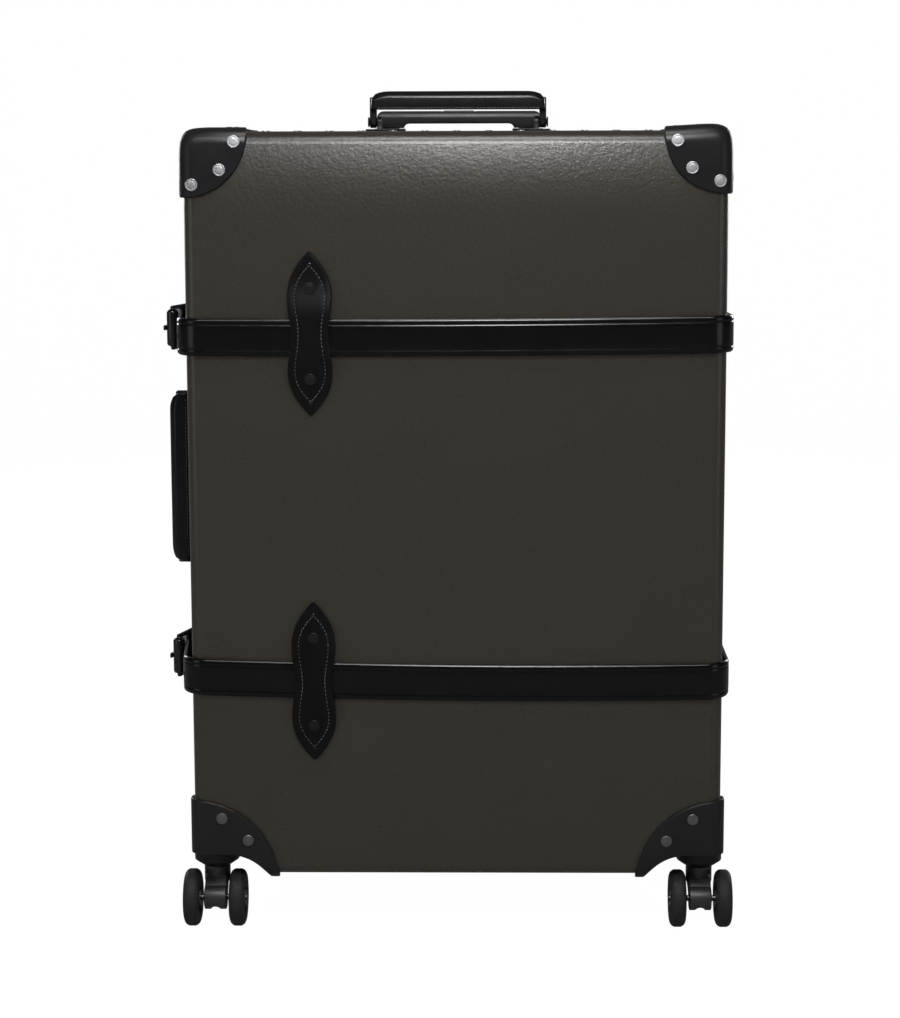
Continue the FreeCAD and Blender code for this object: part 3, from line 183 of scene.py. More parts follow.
lamp("high_lamp", (0.02, -1.31, 1.53), aim=(0.0, -0.14, 0.72), width=0.22, height=0.40, power=16.5)
lamp("overhead_lamp", (0.02, -0.50, 1.80), aim=(0.0, -0.14, 0.75), width=0.50, height=0.35, power=9)
strip = lamp("strip_lamp", (0.0, -1.20, 1.72), aim=(0.0, -0.14, 0.50), width=1.7, height=0.12, power=17)
strip.visible_diffuse = False
for side, hand, fill in (("left", -1, 29), ("right", 1, 17)):
    lamp(f"{side}_lamp", (hand * 2.2, -1.6, 0.8), aim=(0, 0, 0.35), width=1.0, height=1.4, power=4.5)
    lamp(f"{side}_fill", (hand * 2.2, -1.6, 0.5), aim=(0, 0, 0.25), width=1.0, height=1.4, power=fill,
         glare=False)
    lamp(f"{side}_back_lamp", (hand * 1.9, 2.3, 1.2), aim=(0, 0, 0.40), width=1.0, height=1.2, power=30)
lamp("low_fill", (0.0, -1.8, 0.15), aim=(0, -0.14, 0.15), width=1.2, height=0.2, power=4, glare=False)

AIR_LIGHT = 0.05
studio_air = Finish("studio_air", air=True)
air_seen = studio_air.add("ShaderNodeLightPath", output="Is Camera Ray")
studio_air.surface(Color=(1, 1, 1), Strength=AIR_LIGHT + (1 - AIR_LIGHT) * air_seen)
bpy.context.scene.world = studio_air.material

SWEEP_SIZE = 16.0
SWEEP_BACK = 5.0
SWEEP_RISE = 7.0
SWEEP_BEND = 1.5
PAPER_GLOW = 1.06
PAPER_SHARE = 0.93
PAPER_WHITE = (1, 1, 1)
PAPER_MIRRORED = (0.16, 0.16, 0.16)
PAPER_MATT = (0.8, 0.8, 0.8)
bpy.ops.mesh.primitive_plane_add(size=SWEEP_SIZE, location=(0, SWEEP_BACK - SWEEP_SIZE / 2, 0))
sweep = bpy.context.object
sweep.name = "studio_sweep"
bpy.ops.object.transform_apply(location=True)


def at_back(places):
    return all(abs(place.y - SWEEP_BACK) < 1e-4 for place in places)


pick(sweep, "EDGE", at_back)
bpy.ops.mesh.extrude_region_move(TRANSFORM_OT_translate={"value": (0, 0, SWEEP_RISE)})
pick(sweep, "EDGE", lambda places: at_back(places) and all(abs(place.z) < 1e-4 for place in places))
bpy.ops.mesh.bevel(offset=SWEEP_BEND, segments=16)
bpy.ops.object.mode_set(mode="OBJECT")
bpy.ops.object.shade_smooth()
paper = Finish("studio_paper")
ray = [paper.add("ShaderNodeLightPath", output=kind) for kind in (
    "Is Camera Ray", "Is Glossy Ray", "Is Transmission Ray")]
seen = ray[0].math("MAXIMUM", ray[0], ray[1].math("MAXIMUM", ray[1], ray[2]))
shade = paper.mix(ray[1], PAPER_WHITE, PAPER_MIRRORED)
matt = paper.add("ShaderNodeBsdfDiffuse", {}, {"Color": PAPER_MATT})
white = paper.add("ShaderNodeEmission", {}, {"Color": shade, "Strength": PAPER_GLOW})
mixed = paper.add("ShaderNodeMixShader", {}, {0: seen * PAPER_SHARE, 1: matt, 2: white})
paper.tree.links.new(mixed.socket, paper.tree.nodes["Material Output"].inputs["Surface"])
sweep.data.materials.append(paper.material)


# The shell: two trays of vulcanised fibreboard, pressed round their edges and lacquered.
# Its pebbled grain is embossed, so it shows most where light grazes it.

MM = 0.001
nodes = frame["nodes"]


def dress(node, finish):
    """Gives a CAD solid that shows as it is its finish."""
    nodes[node].data.materials.clear()
    nodes[node].data.materials.append(finish.material)


PEBBLE = 0.14 * MM
CRINKLE = 0.16 * MM
FALL = 9.8 * MM
FALL_REACH = 80 * MM
WRINKLE_TURN = 0.6
WRINKLE_STRETCH = 2.2
board_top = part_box("lid_shell")[1].z
fibreboard = Finish("fibreboard")
board_place = fibreboard.place()
pebble = fibreboard.add("ShaderNodeTexVoronoi", {"feature": "SMOOTH_F1"}, {
    "Vector": board_place, "Scale": 300.0, "Smoothness": 1.0, "Randomness": 1.0})
wrinkled = fibreboard.add("ShaderNodeMapping", {}, {
    "Vector": board_place, "Rotation": (0, WRINKLE_TURN, 0), "Scale": (1, 1, WRINKLE_STRETCH)})
crinkle = fibreboard.noise(wrinkled, scale=380.0, detail=3.0, roughness=0.55)
mottle = fibreboard.noise(board_place, scale=14.0, detail=3.0, roughness=0.6)
height = fibreboard.add("ShaderNodeSeparateXYZ", {}, {0: board_place}, output="Z")
nearness = fibreboard.add("ShaderNodeMapRange", {}, {
    "Value": height, 1: board_top - FALL_REACH, 2: board_top, 3: 0.0, 4: 1.0})
relief = pebble * PEBBLE + crinkle * CRINKLE - nearness ** 2 * FALL
fibreboard.surface(
    Base_Color=fibreboard.mix(mottle, (0.0206, 0.0177, 0.0139), (0.0243, 0.0209, 0.0166)),
    Roughness=0.245 + 0.08 * crinkle,
    Specular_IOR_Level=0.36,
    Normal=fibreboard.bump(relief, strength=1.0, distance=1.0),
)
dress("lid_shell", fibreboard)
dress("base_shell", fibreboard)


# The inside: woven lining glued to both trays and to the board over the trolley tubes.
# A moulded collar round the base's mouth keeps dust out when the lid is shut.

lining_cloth = Finish("lining_cloth")
cloth_place = lining_cloth.place()
WEAVE = 900.0


def threads(direction):
    """The ridges of the threads that run across one direction."""
    sockets = {"Vector": cloth_place, "Scale": WEAVE, "Distortion": 0.4, "Detail": 1.0}
    settings = {"wave_type": "BANDS", "bands_direction": direction, "wave_profile": "SIN"}
    return lining_cloth.add("ShaderNodeTexWave", settings, sockets)


weave = threads("Z") + threads("DIAGONAL")
lining_cloth.surface(
    Base_Color=lining_cloth.mix(
        lining_cloth.noise(cloth_place, scale=30.0, detail=3.0), (0.055, 0.05, 0.045), (0.075, 0.07, 0.062)),
    Roughness=0.9,
    Specular_IOR_Level=0.2,
    Normal=lining_cloth.bump(weave, strength=0.4, distance=0.3 * MM),
)
for node in ("lid_lining", "base_lining", "trolley_cover_panel"):
    dress(node, lining_cloth)

moulded_black = Finish("moulded_black")
moulded_place = moulded_black.place()
spark = moulded_black.noise(moulded_place, scale=1800.0, detail=2.0)
moulded_black.surface(
    Base_Color=moulded_black.mix(
        moulded_black.noise(moulded_place, scale=20.0), (0.015, 0.015, 0.0165), (0.020, 0.020, 0.0215)),
    Roughness=0.36 + 0.08 * spark,
    Specular_IOR_Level=0.4,
    Normal=moulded_black.bump(spark, strength=0.15, distance=0.1 * MM),
)
dress("base_rim", moulded_black)


# The upper corners: leather caps, wetted and moulded over the shell, with a skived and burnished edge.
# Each is held by three rivets on the face and one on the top and the side.

MERGE = 0.01 * MM
FLAT_ANGLE = math.radians(0.5)
SMOOTH_ANGLE = math.radians(40)
STRAY_SHARE = 0.42


def ease(piece, width, segments=3, angle=50):
    """Rounds a piece's sharp edges. A point that this throws off the piece is drawn back to it."""
    sharp = piece.data
    skin = BVHTree.FromPolygons(
        [vertex.co.copy() for vertex in sharp.vertices], [tuple(face.vertices) for face in sharp.polygons])
    rounding = piece.modifiers.new("rounding", "BEVEL")
    rounding.width = width
    rounding.segments = segments
    rounding.limit_method = "ANGLE"
    rounding.angle_limit = math.radians(angle)
    rounding.use_clamp_overlap = False
    bpy.ops.object.modifier_apply(modifier="rounding")
    for vertex in piece.data.vertices:
        nearest, facing, face, away = skin.find_nearest(vertex.co)
        if away > STRAY_SHARE * width:
            vertex.co = nearest
    bpy.ops.object.shade_smooth_by_angle(angle=SMOOTH_ANGLE)


def merged_copy(name, node):
    """A copy of a CAD solid, its loose triangles merged into whole faces."""
    piece = bpy.data.objects.new(name, nodes[node].data.copy())
    bpy.context.collection.objects.link(piece)
    bpy.ops.object.select_all(action="DESELECT")
    piece.select_set(True)
    bpy.context.view_layer.objects.active = piece
    piece.data.materials.clear()
    bpy.ops.mesh.customdata_custom_splitnormals_clear()
    bpy.ops.object.mode_set(mode="EDIT")
    bpy.ops.mesh.select_all(action="SELECT")
    bpy.ops.mesh.remove_doubles(threshold=MERGE)
    bpy.ops.mesh.dissolve_limited(angle_limit=FLAT_ANGLE)
    bpy.ops.object.mode_set(mode="OBJECT")
    return piece


def eased_copy(name, node, width, segments=3, first=None):
    """A copy of a CAD solid with its sharp edges eased, which stands for it; first shapes it before that."""
    piece = merged_copy(name, node)
    if first:
        first(piece)
    ease(piece, width, segments)
    return piece


def fit(piece, body, finish, slot, *replaced):
    """Hangs a finished piece on its body, in its finish."""
    piece.data.materials.append(finish.material)
    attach(piece, body)
    if replaced:
        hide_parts(*replaced)
    return piece


corner_leather = Finish("corner_leather")
hide_place = corner_leather.place()
pores = corner_leather.add("ShaderNodeTexVoronoi", {"feature": "F1"}, {"Vector": hide_place, "Scale": 1300.0})
stretch = corner_leather.noise(hide_place, scale=60.0, detail=3.0)
corner_leather.surface(
    Base_Color=corner_leather.mix(stretch, (0.0062, 0.0062, 0.0070), (0.0094, 0.0094, 0.0104)),
    Roughness=0.28 + 0.12 * stretch,
    Specular_IOR_Level=0.18,
    Normal=corner_leather.bump(pores * 0.5 + stretch, strength=0.18, distance=0.25 * MM),
)
SKIVE_FROM = 236 * MM
SKIVE_OVER = 20 * MM
SKIVE_DEPTH = 0.7


def skived(place):
    """Where a place on the top of a rear cap goes as the leather thins towards its edge."""
    share = min(1, max(0, (SKIVE_FROM - abs(place.x)) / SKIVE_OVER))
    return max(0, place.z - board_top) * SKIVE_DEPTH * share


CORNER_ROUND = 27.5 * MM
CORNER_SQUARE = 3.6
RIGHT_LIFT = 2.6 * MM
LIFT_FROM = 205 * MM
LIFT_OVER = 45 * MM
cap_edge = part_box("lid_corners")[1]


def moulded(place):
    """Where a place on a cap goes as the leather is drawn out into the corner, and higher on the right."""
    across = abs(place.x) - cap_edge.x + CORNER_ROUND
    up = place.z - cap_edge.z + CORNER_ROUND
    moved = place.copy()
    if across > 0 and up > 0:
        reach = math.hypot(across, up)
        squarer = ((across / reach) ** CORNER_SQUARE + (up / reach) ** CORNER_SQUARE) ** (-1 / CORNER_SQUARE)
        moved.x += math.copysign(across * (squarer - 1), place.x)
        moved.z += up * (squarer - 1)
    share = min(1, max(0, (place.x - LIFT_FROM) / LIFT_OVER))
    moved.z += RIGHT_LIFT * share * share * (3 - 2 * share)
    return moved


for half in ("lid", "base"):
    corners = eased_copy(f"{half}_corner_caps", f"{half}_corners", width=1.3 * MM)
    if half == "lid":
        for vertex in corners.data.vertices:
            vertex.co = moulded(vertex.co)
    else:
        for vertex in corners.data.vertices:
            vertex.co.z -= skived(vertex.co)
    fit(corners, half, corner_leather, "corner_leather", f"{half}_corners")


# The lower corners: housings of tough black plastic, each moulded in one piece with the well of its caster.
# They cap the shell's corners, and rivets through their flanges hold them to the board.

housing_plastic = Finish("housing_plastic")
housing_place = housing_plastic.place()
mould_grain = housing_plastic.noise(housing_place, scale=900.0, detail=3.0)
housing_plastic.surface(
    Base_Color=housing_plastic.mix(
        housing_plastic.noise(housing_place, scale=18.0), (0.0070, 0.0069, 0.0076), (0.0098, 0.0097, 0.0106)),
    Roughness=0.32 + 0.10 * mould_grain,
    Specular_IOR_Level=0.16,
    Normal=housing_plastic.bump(mould_grain, strength=0.25, distance=0.15 * MM),
)
for half, body in (("front", "lid"), ("rear", "base")):
    housings = eased_copy(f"{half}_housings", f"{half}_wheel_housings", width=1.4 * MM)
    fit(housings, body, housing_plastic, "housing_plastic", f"{half}_wheel_housings")


# Rivets: turned steel with low domed heads, set in the leather, the housings and along the rim.
# The rim and side of each head are black lacquer, painted shade for the dark ring round it; those through the
# housings are of a darker steel.

def steel(name, dark, bright, rough):
    """Turned steel: fine scratches and a little tarnish."""
    made = Finish(name)
    place = made.place()
    tarnish = made.noise(place, scale=120.0, detail=4.0, roughness=0.65)
    scratch = made.noise(place, scale=1500.0, detail=2.0)
    made.surface(
        Base_Color=made.mix(tarnish, dark, bright),
        Metallic=1.0,
        Roughness=rough + 0.12 * tarnish,
        Normal=made.bump(scratch, strength=0.12, distance=0.08 * MM),
    )
    return made


bright_steel = steel("bright_steel", dark=(0.30, 0.31, 0.32), bright=(0.44, 0.45, 0.47), rough=0.40)
dark_steel = steel("dark_steel", dark=(0.16, 0.16, 0.17), bright=(0.25, 0.25, 0.265), rough=0.40)


def lacquer(name, rough, shine):
    """Black lacquer on steel, with a little orange peel."""
    made = Finish(name)
    orange_peel = made.noise(made.place(), scale=260.0, detail=2.0)
    made.surface(
        Base_Color=made.mix(orange_peel, (0.004, 0.004, 0.0045), (0.007, 0.007, 0.008)),
        Roughness=rough + 0.08 * orange_peel,
        Specular_IOR_Level=shine,
        Normal=made.bump(orange_peel, strength=0.05, distance=0.2 * MM),
    )
    return made


black_lacquer = lacquer("black_lacquer", rough=0.10, shine=0.5)
satin_lacquer = lacquer("satin_lacquer", rough=0.34, shine=0.18)


def seats_of(node):
    """For each rivet of a CAD node: the middle of its outer face, the way that faces, and its radius."""
    merged_copy("loose_rivets", node)
    bpy.ops.object.mode_set(mode="EDIT")
    bpy.ops.mesh.select_all(action="SELECT")
    bpy.ops.mesh.separate(type="LOOSE")
    bpy.ops.object.mode_set(mode="OBJECT")
    found = []
    for part in list(bpy.context.selected_objects):
        places = [vertex.co for vertex in part.data.vertices]
        ends = [face for face in part.data.polygons
                if all((place - face.center).dot(face.normal) < 2 * MERGE for place in places)]
        top = max(ends, key=lambda face: face.area)
        middle, facing = Vector(top.center), Vector(top.normal)
        radius = max(((place - middle) - facing * (place - middle).dot(facing)).length for place in places)
        found.append((middle, facing, radius))
        bpy.data.objects.remove(part)
    return found


HEAD_SIDES = 28
HEAD_ROUND = 0.30
GROOVE_DEPTH = 0.08
GROOVE_RISE = 0.07
CROWN_RISE = 0.03


def rivet_head(radius, height):
    """One head: a turned disc with a groove inside its rim; its rim and side are black lacquer, painted shade
    round the head.
    """
    bpy.ops.object.select_all(action="DESELECT")
    bpy.ops.mesh.primitive_cylinder_add(
        vertices=HEAD_SIDES, radius=radius, depth=height, location=(0, 0, -height / 2))
    head = bpy.context.object
    bpy.ops.object.transform_apply(location=True)

    def on_top(places):
        return all(abs(place.z) < 1e-6 for place in places)

    pick(head, "FACE", on_top)
    bpy.ops.mesh.bevel(offset=height * HEAD_ROUND, segments=3)
    pick(head, "FACE", lambda places: on_top(places) and len(places) > 4)
    bpy.ops.mesh.inset(thickness=radius * 0.14)
    bpy.ops.mesh.inset(thickness=radius * 0.06, depth=-height * GROOVE_DEPTH)
    bpy.ops.mesh.inset(thickness=radius * 0.06, depth=height * GROOVE_RISE)
    bpy.ops.mesh.inset(thickness=radius * 0.25, depth=height * CROWN_RISE)
    bpy.ops.object.mode_set(mode="OBJECT")
    # The rim and side take the second material, black lacquer: painted shade for the dark ring round each
    # head.
    for face in head.data.polygons:
        face.material_index = 1 if face.center.xy.length > radius - height * HEAD_ROUND else 0
    bpy.ops.object.shade_smooth_by_angle(angle=math.radians(50))
    return head


def copies_of(pattern, name, seats):
    """One piece of many copies of a pattern, each at its own place and turned from Z to its own direction."""
    copies = []
    for place, facing in seats:
        copy = bpy.data.objects.new(name, pattern.data.copy())
        turn = facing.to_track_quat("Z", "Y").to_matrix().to_4x4()
        copy.data.transform(Matrix.Translation(place) @ turn)
        bpy.context.collection.objects.link(copy)
        copies.append(copy)
    bpy.data.objects.remove(pattern)
    bpy.ops.object.select_all(action="DESELECT")
    for copy in copies:
        copy.select_set(True)
    bpy.context.view_layer.objects.active = copies[0]
    bpy.ops.object.join()
    copies[0].name = name
    return copies[0]


def rivets(name, body, finish, slot, height, seats, spread=1.0):
    """The heads of a group of rivets, all of one size."""
    pattern = rivet_head(seats[0][2] * spread, height)
    heads = copies_of(pattern, name, [(middle, facing) for middle, facing, radius in seats])
    fit(heads, body, finish, slot)
    # The second material, black lacquer, is painted shade on the rims of the heads.
    heads.data.materials.append(black_lacquer.material)
    return heads


RIVET_HEIGHT = 1.8 * MM
RIVET_SUNK = 1.3 * MM
RIVET_SPREAD = 1.1
RIVET_LEVEL = 3
RIM_RIVET_HEIGHT = 1.4 * MM
RIM_RIVET_SUNK = 0.7 * MM
housing_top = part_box("front_wheel_housings")[1].z


def set_in(half, middle, facing, radius):
    """A rivet's seat, moved with its cap: pressed nearly level on the face, and sunk on the other sides."""
    if half == "base":
        middle = middle - Vector((0, 0, skived(middle)))
    elif middle.z > housing_top:
        middle = moulded(middle)
    if abs(facing.y) > 0.5:
        return middle, Vector((facing.x / RIVET_LEVEL, facing.y, facing.z / RIVET_LEVEL)), radius
    return middle - facing * RIVET_SUNK, facing, radius


for half in ("lid", "base"):
    seats = [set_in(half, *seat) for seat in seats_of(f"{half}_rivets")]
    high = [seat for seat in seats if seat[0].z > housing_top]
    low = [seat for seat in seats if seat[0].z <= housing_top]
    shown = rivets(
        f"{half}_corner_rivet_heads", half, bright_steel, "rivet_steel", RIVET_HEIGHT, high, RIVET_SPREAD)
    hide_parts(f"{half}_rivets")
    rivets(f"{half}_housing_rivet_heads", half, dark_steel, "rivet_steel", RIVET_HEIGHT, low)
    seats = [(middle - facing * RIM_RIVET_SUNK, facing, radius)
             for middle, facing, radius in seats_of(f"{half}_rim_rivets")]
    shown = rivets(f"{half}_rim_rivet_heads", half, bright_steel, "rivet_steel", RIM_RIVET_HEIGHT, seats)
    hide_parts(f"{half}_rim_rivets")


# Casters: a cap screwed under the well, a trailing fork that swivels on its pin, and two wheels on one axle.
# Fork and hubs are moulded nylon, the cap is of the housing's plastic, and a soft tyre grips each hub.

fork_nylon = Finish("fork_nylon")
nylon_place = fork_nylon.place()
nylon_grain = fork_nylon.noise(nylon_place, scale=700.0, detail=3.0)
fork_nylon.surface(
    Base_Color=fork_nylon.mix(
        fork_nylon.noise(nylon_place, scale=25.0), (0.016, 0.0158, 0.018), (0.022, 0.0217, 0.0246)),
    Roughness=0.40 + 0.10 * nylon_grain,
    Specular_IOR_Level=0.45,
    Normal=fork_nylon.bump(nylon_grain, strength=0.2, distance=0.12 * MM),
)
tyre_rubber = Finish("tyre_rubber")
rubber_place = tyre_rubber.place()
scuff = tyre_rubber.noise(rubber_place, scale=320.0, detail=5.0, roughness=0.75)
tread_grain = tyre_rubber.noise(rubber_place, scale=1100.0, detail=3.0)
tyre_rubber.surface(
    Base_Color=tyre_rubber.mix(scuff, (0.0015, 0.0015, 0.002), (0.020, 0.020, 0.020)),
    Roughness=0.55 + 0.2 * scuff,
    Specular_IOR_Level=0.20,
    Normal=tyre_rubber.bump(tread_grain, strength=0.3, distance=0.15 * MM),
)
axle_steel = steel("axle_steel", dark=(0.07, 0.07, 0.075), bright=(0.12, 0.12, 0.125), rough=0.35)

TYRE_CROWN = 6.5 * MM
HUB_RADIUS = 20 * MM
HUB_LIP = 2.0 * MM
HUB_STEP = 0.45 * MM
HUB_RECESS = 1.6 * MM
HUB_BOSS = 8 * MM
HUB_POCKETS = 8
POCKET_DEPTH = 2.0 * MM
POCKET_RIB = 0.8 * MM
SPOKE_SHARE = 0.13


def caster_wheel(radius, width):
    """A tyre with a rounded tread round a hub that is dished and pocketed on both sides."""
    bpy.ops.object.select_all(action="DESELECT")
    bpy.ops.mesh.primitive_cylinder_add(vertices=64, radius=radius, depth=width, rotation=(0, math.pi / 2, 0))
    wheel = bpy.context.object
    bpy.ops.object.transform_apply(rotation=True)

    def on_side(places):
        return all(abs(abs(place.x) - width / 2) < 1e-5 for place in places)

    def in_pocket(places):
        middle = sum(places, Vector()) / len(places)
        share = math.atan2(middle.z, middle.y) / math.tau * HUB_POCKETS % 1
        deep = abs(middle.x) < width / 2 - HUB_RECESS * 1.5
        between = HUB_BOSS + HUB_STEP < middle.yz.length < HUB_RADIUS - HUB_LIP - HUB_STEP
        return deep and between and SPOKE_SHARE < share < 1 - SPOKE_SHARE

    pick(wheel, "EDGE", on_side)
    bpy.ops.mesh.bevel(offset=TYRE_CROWN, segments=7)
    pick(wheel, "FACE", lambda places: on_side(places) and len(places) > 8)
    bpy.ops.mesh.inset(thickness=radius - TYRE_CROWN - HUB_RADIUS, use_individual=True)
    bpy.ops.mesh.inset(thickness=HUB_STEP, depth=-HUB_RECESS, use_individual=True)
    bpy.ops.mesh.inset(thickness=HUB_LIP, use_individual=True)
    bpy.ops.mesh.inset(thickness=HUB_STEP, depth=-HUB_RECESS, use_individual=True)
    bpy.ops.mesh.inset(thickness=HUB_RADIUS - HUB_LIP - 2 * HUB_STEP - HUB_BOSS, use_individual=True)
    bpy.ops.mesh.inset(thickness=HUB_STEP, depth=HUB_RECESS * 1.5, use_individual=True)
    pick(wheel, "FACE", in_pocket)
    bpy.ops.mesh.inset(thickness=POCKET_RIB, depth=-POCKET_DEPTH)
    bpy.ops.object.mode_set(mode="OBJECT")
    for vertex in wheel.data.vertices:
        over = max(1, vertex.co.yz.length / radius)
        vertex.co.y /= over
        vertex.co.z /= over
    for face in wheel.data.polygons:
        face.material_index = 1 if face.center.yz.length < HUB_RADIUS - 0.1 * MM else 0
    bpy.ops.object.shade_smooth_by_angle(angle=math.radians(35))
    return wheel


wheel_low, wheel_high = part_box("wheel_front_left_left")
wheel_pattern = caster_wheel((wheel_high.z - wheel_low.z) / 2, wheel_high.x - wheel_low.x)
for where in ("front_left", "front_right", "rear_left", "rear_right"):
    for hand in ("left", "right"):
        node = f"wheel_{where}_{hand}"
        wheel = bpy.data.objects.new(f"caster_{node}", wheel_pattern.data.copy())
        bpy.context.collection.objects.link(wheel)
        wheel.data.transform(Matrix.Translation(sum(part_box(node), Vector()) / 2))
        fit(wheel, node, tyre_rubber, "wheel_rubber", node)
        wheel.data.materials.append(fork_nylon.material)
    fork = eased_copy(f"fork_{where}", f"caster_fork_{where}", width=1.2 * MM)
    fit(fork, f"caster_{where}", fork_nylon, "fork_plastic", f"caster_fork_{where}")
    dress(f"caster_axle_{where}", axle_steel)
bpy.data.objects.remove(wheel_pattern)
for half, body in (("front", "lid"), ("rear", "base")):
    caps = eased_copy(f"{half}_caster_caps", f"{half}_caster_mounts", width=0.8 * MM)
    fit(caps, body, housing_plastic, "fork_plastic", f"{half}_caster_mounts")


# Two straps of bridle leather go right round the case, creased along both edges and waxed.
# On the left each tongue runs under the buckle's roller, over its heel bar and through a keeper.

def bridle(name, dark, bright, rough, shine):
    """Bridle leather: fine pores under wax that lies unevenly."""
    made = Finish(name)
    place = made.place()
    bridle_pores = made.noise(place, scale=1600.0, detail=3.0)
    wax = made.noise(place, scale=45.0, detail=3.0, roughness=0.6)
    made.surface(
        Base_Color=made.mix(wax, dark, bright),
        Roughness=rough + 0.10 * wax,
        Specular_IOR_Level=shine,
        Normal=made.bump(bridle_pores + wax, strength=0.10, distance=0.2 * MM),
    )
    return made


strap_leather = bridle(
    "strap_leather", dark=(0.0017, 0.0017, 0.0021), bright=(0.0027, 0.0027, 0.0032), rough=0.13, shine=0.26)

joints = {joint["name"]: joint for joint in frame["joints"]}
side_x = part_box("lid_shell")[1].x
front_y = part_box("lid_shell")[0].y
back_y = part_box("base_shell")[1].y
parting_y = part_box("lid_shell")[1].y
strap_low, strap_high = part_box("front_straps")
STRAP_WIDTH = 33.5 * MM
STRAP_THICK = 4.0 * MM
STRAP_GAP = 0.5 * MM
EDGE_ROUND = 12 * MM
strap_middle = STRAP_GAP + STRAP_THICK / 2
edge_bend = EDGE_ROUND + strap_middle
LOOSE_BEND = 24 * MM
LOOSE_SIDE = 3.0 * MM
LOOSE_FRONT = 2.0 * MM
GENTLE_BEND = 60 * MM
KEEPER_BEND = 20 * MM
HEEL_BEND = 8.8 * MM
SPLIT_X = -139.5 * MM
HANG = {"upper": (-0.45 * MM, 1.05 * MM, 1.65 * MM), "lower": (-2.3 * MM, -2.2 * MM, 3.9 * MM)}
HANG_FROM = -60 * MM
CREASE = 12.15 * MM
SPREAD = 0.27
HEEL_TO_ROLLER = 37 * MM
ROLLER_OUT = 15.1 * MM
CHAPE_OUT = 5.0 * MM
TONGUE_OVER = 4.8 * MM
KEEPER_BACK = 55 * MM
KEEPER_WIDTH = 12 * MM
heel = Vector(joints["buckle_upper_swing"]["pos_m"])
chape_x = -side_x - CHAPE_OUT
tongue_x = chape_x - TONGUE_OVER
keeper_y = parting_y + KEEPER_BACK
strap_levels = {"upper": strap_high.z - STRAP_WIDTH / 2, "lower": strap_low.z + STRAP_WIDTH / 2}


def strap_section():
    """The strap's cross-section as (height, out) pairs: creased outside, flat inside, with rounded edges."""
    half = STRAP_WIDTH / 2
    out = STRAP_THICK / 2
    grain_side = [(0, out), (half * 0.4, out)]
    groove = [
        (CREASE - 1.2 * MM, out), (CREASE - 1.0 * MM, out - 0.03 * MM),
        (CREASE - 0.15 * MM, out - 0.42 * MM), (CREASE, out - 0.46 * MM),
        (CREASE + 0.15 * MM, out - 0.42 * MM), (CREASE + 1.0 * MM, out - 0.03 * MM),
    ]
    edge = [
        (CREASE + 1.3 * MM, out - 0.02 * MM), (half - 1.6 * MM, out - 0.25 * MM),
        (half - 0.6 * MM, out - 0.8 * MM), (half, out - 1.8 * MM), (half, -out + 1.0 * MM),
    ]
    flesh_side = [(half - 0.4 * MM, -out + 0.3 * MM), (half - 1.2 * MM, -out)]
    upper = grain_side + groove + edge + flesh_side
    return upper + [(-up, out) for up, out in reversed(upper[1:])]


RUN_PARTS = 10
TURN_STEP = 6


def swept(name, section, points, bends, z):
    """Draws a section along straight runs and round bends in plan; out is to the left of the way it goes."""
    points = [Vector((x, y, z)) for x, y in points]
    bpy.ops.object.select_all(action="DESELECT")
    bpy.ops.mesh.primitive_circle_add(vertices=len(section), fill_type="NOTHING")
    piece = bpy.context.object
    piece.name = name
    heading = (points[1] - points[0]).normalized()
    left = Vector((-heading.y, heading.x, 0))
    for vertex, (up, out) in zip(piece.data.vertices, section):
        vertex.co = points[0] + left * out + Vector((0, 0, up))
    bpy.ops.object.mode_set(mode="EDIT")
    bpy.ops.mesh.select_all(action="SELECT")
    bpy.ops.mesh.edge_face_add()
    here = points[0]
    for index, radius in enumerate([*bends, None], 1):
        corner = points[index]
        if radius is None:
            stretch, turn = (corner - here).length, 0
        else:
            onward = (points[index + 1] - corner).normalized()
            turn = math.atan2(heading.cross(onward).z, heading.dot(onward))
            setback = radius * math.tan(abs(turn) / 2)
            stretch = (corner - here).length - setback
        for part in range(RUN_PARTS):
            bpy.ops.mesh.extrude_region_move(
                TRANSFORM_OT_translate={"value": heading * stretch / RUN_PARTS})
        if turn:
            left = Vector((-heading.y, heading.x, 0))
            centre = corner - heading * setback + left * radius * math.copysign(1, turn)
            steps = max(3, round(abs(math.degrees(turn)) / TURN_STEP))
            bpy.ops.mesh.spin(steps=steps, angle=-turn, center=centre, axis=(0, 0, 1))
            here = corner + onward * setback
            heading = onward
    bpy.ops.mesh.select_all(action="SELECT")
    bpy.ops.mesh.remove_doubles(threshold=0.005 * MM)
    bpy.ops.mesh.normals_make_consistent(inside=False)
    bpy.ops.object.mode_set(mode="OBJECT")
    bpy.ops.object.shade_smooth_by_angle(angle=math.radians(50))
    return piece


def heel_corner(before, after):
    """Where the runs each side of the heel bar would meet, both being tangent to the bend round it."""
    lines = []
    for (x, y), way in ((before, 1), (after, -1)):
        towards = Vector((heel.x - x, heel.y - y))
        angle = math.atan2(towards.y, towards.x) + way * math.asin(HEEL_BEND / towards.length)
        lines.append((Vector((x, y)), Vector((math.cos(angle), math.sin(angle)))))
    (first, along), (second, back) = lines
    apart = second - first
    corner = first + along * (apart.cross(back) / along.cross(back))
    return corner.x, corner.y


def strap_offset(where, x):
    """How far a strap stands above its level at a place across the front: it leans a little, and sags."""
    rise, lean, sag = HANG[where]
    return rise + lean * x / side_x - sag * max(0, 1 - (x / side_x) ** 2)


def hung(piece, where, z):
    """Lets the run across the front hang between the corners, and spreads its pressed edges a little."""
    for vertex in piece.data.vertices:
        share = min(1, max(0, (HANG_FROM - vertex.co.y) / (HANG_FROM - front_y)))
        if share:
            edge = max(0, abs(vertex.co.z - z) - CREASE) * SPREAD
            vertex.co.z += share * (strap_offset(where, vertex.co.x) + math.copysign(edge, vertex.co.z - z))


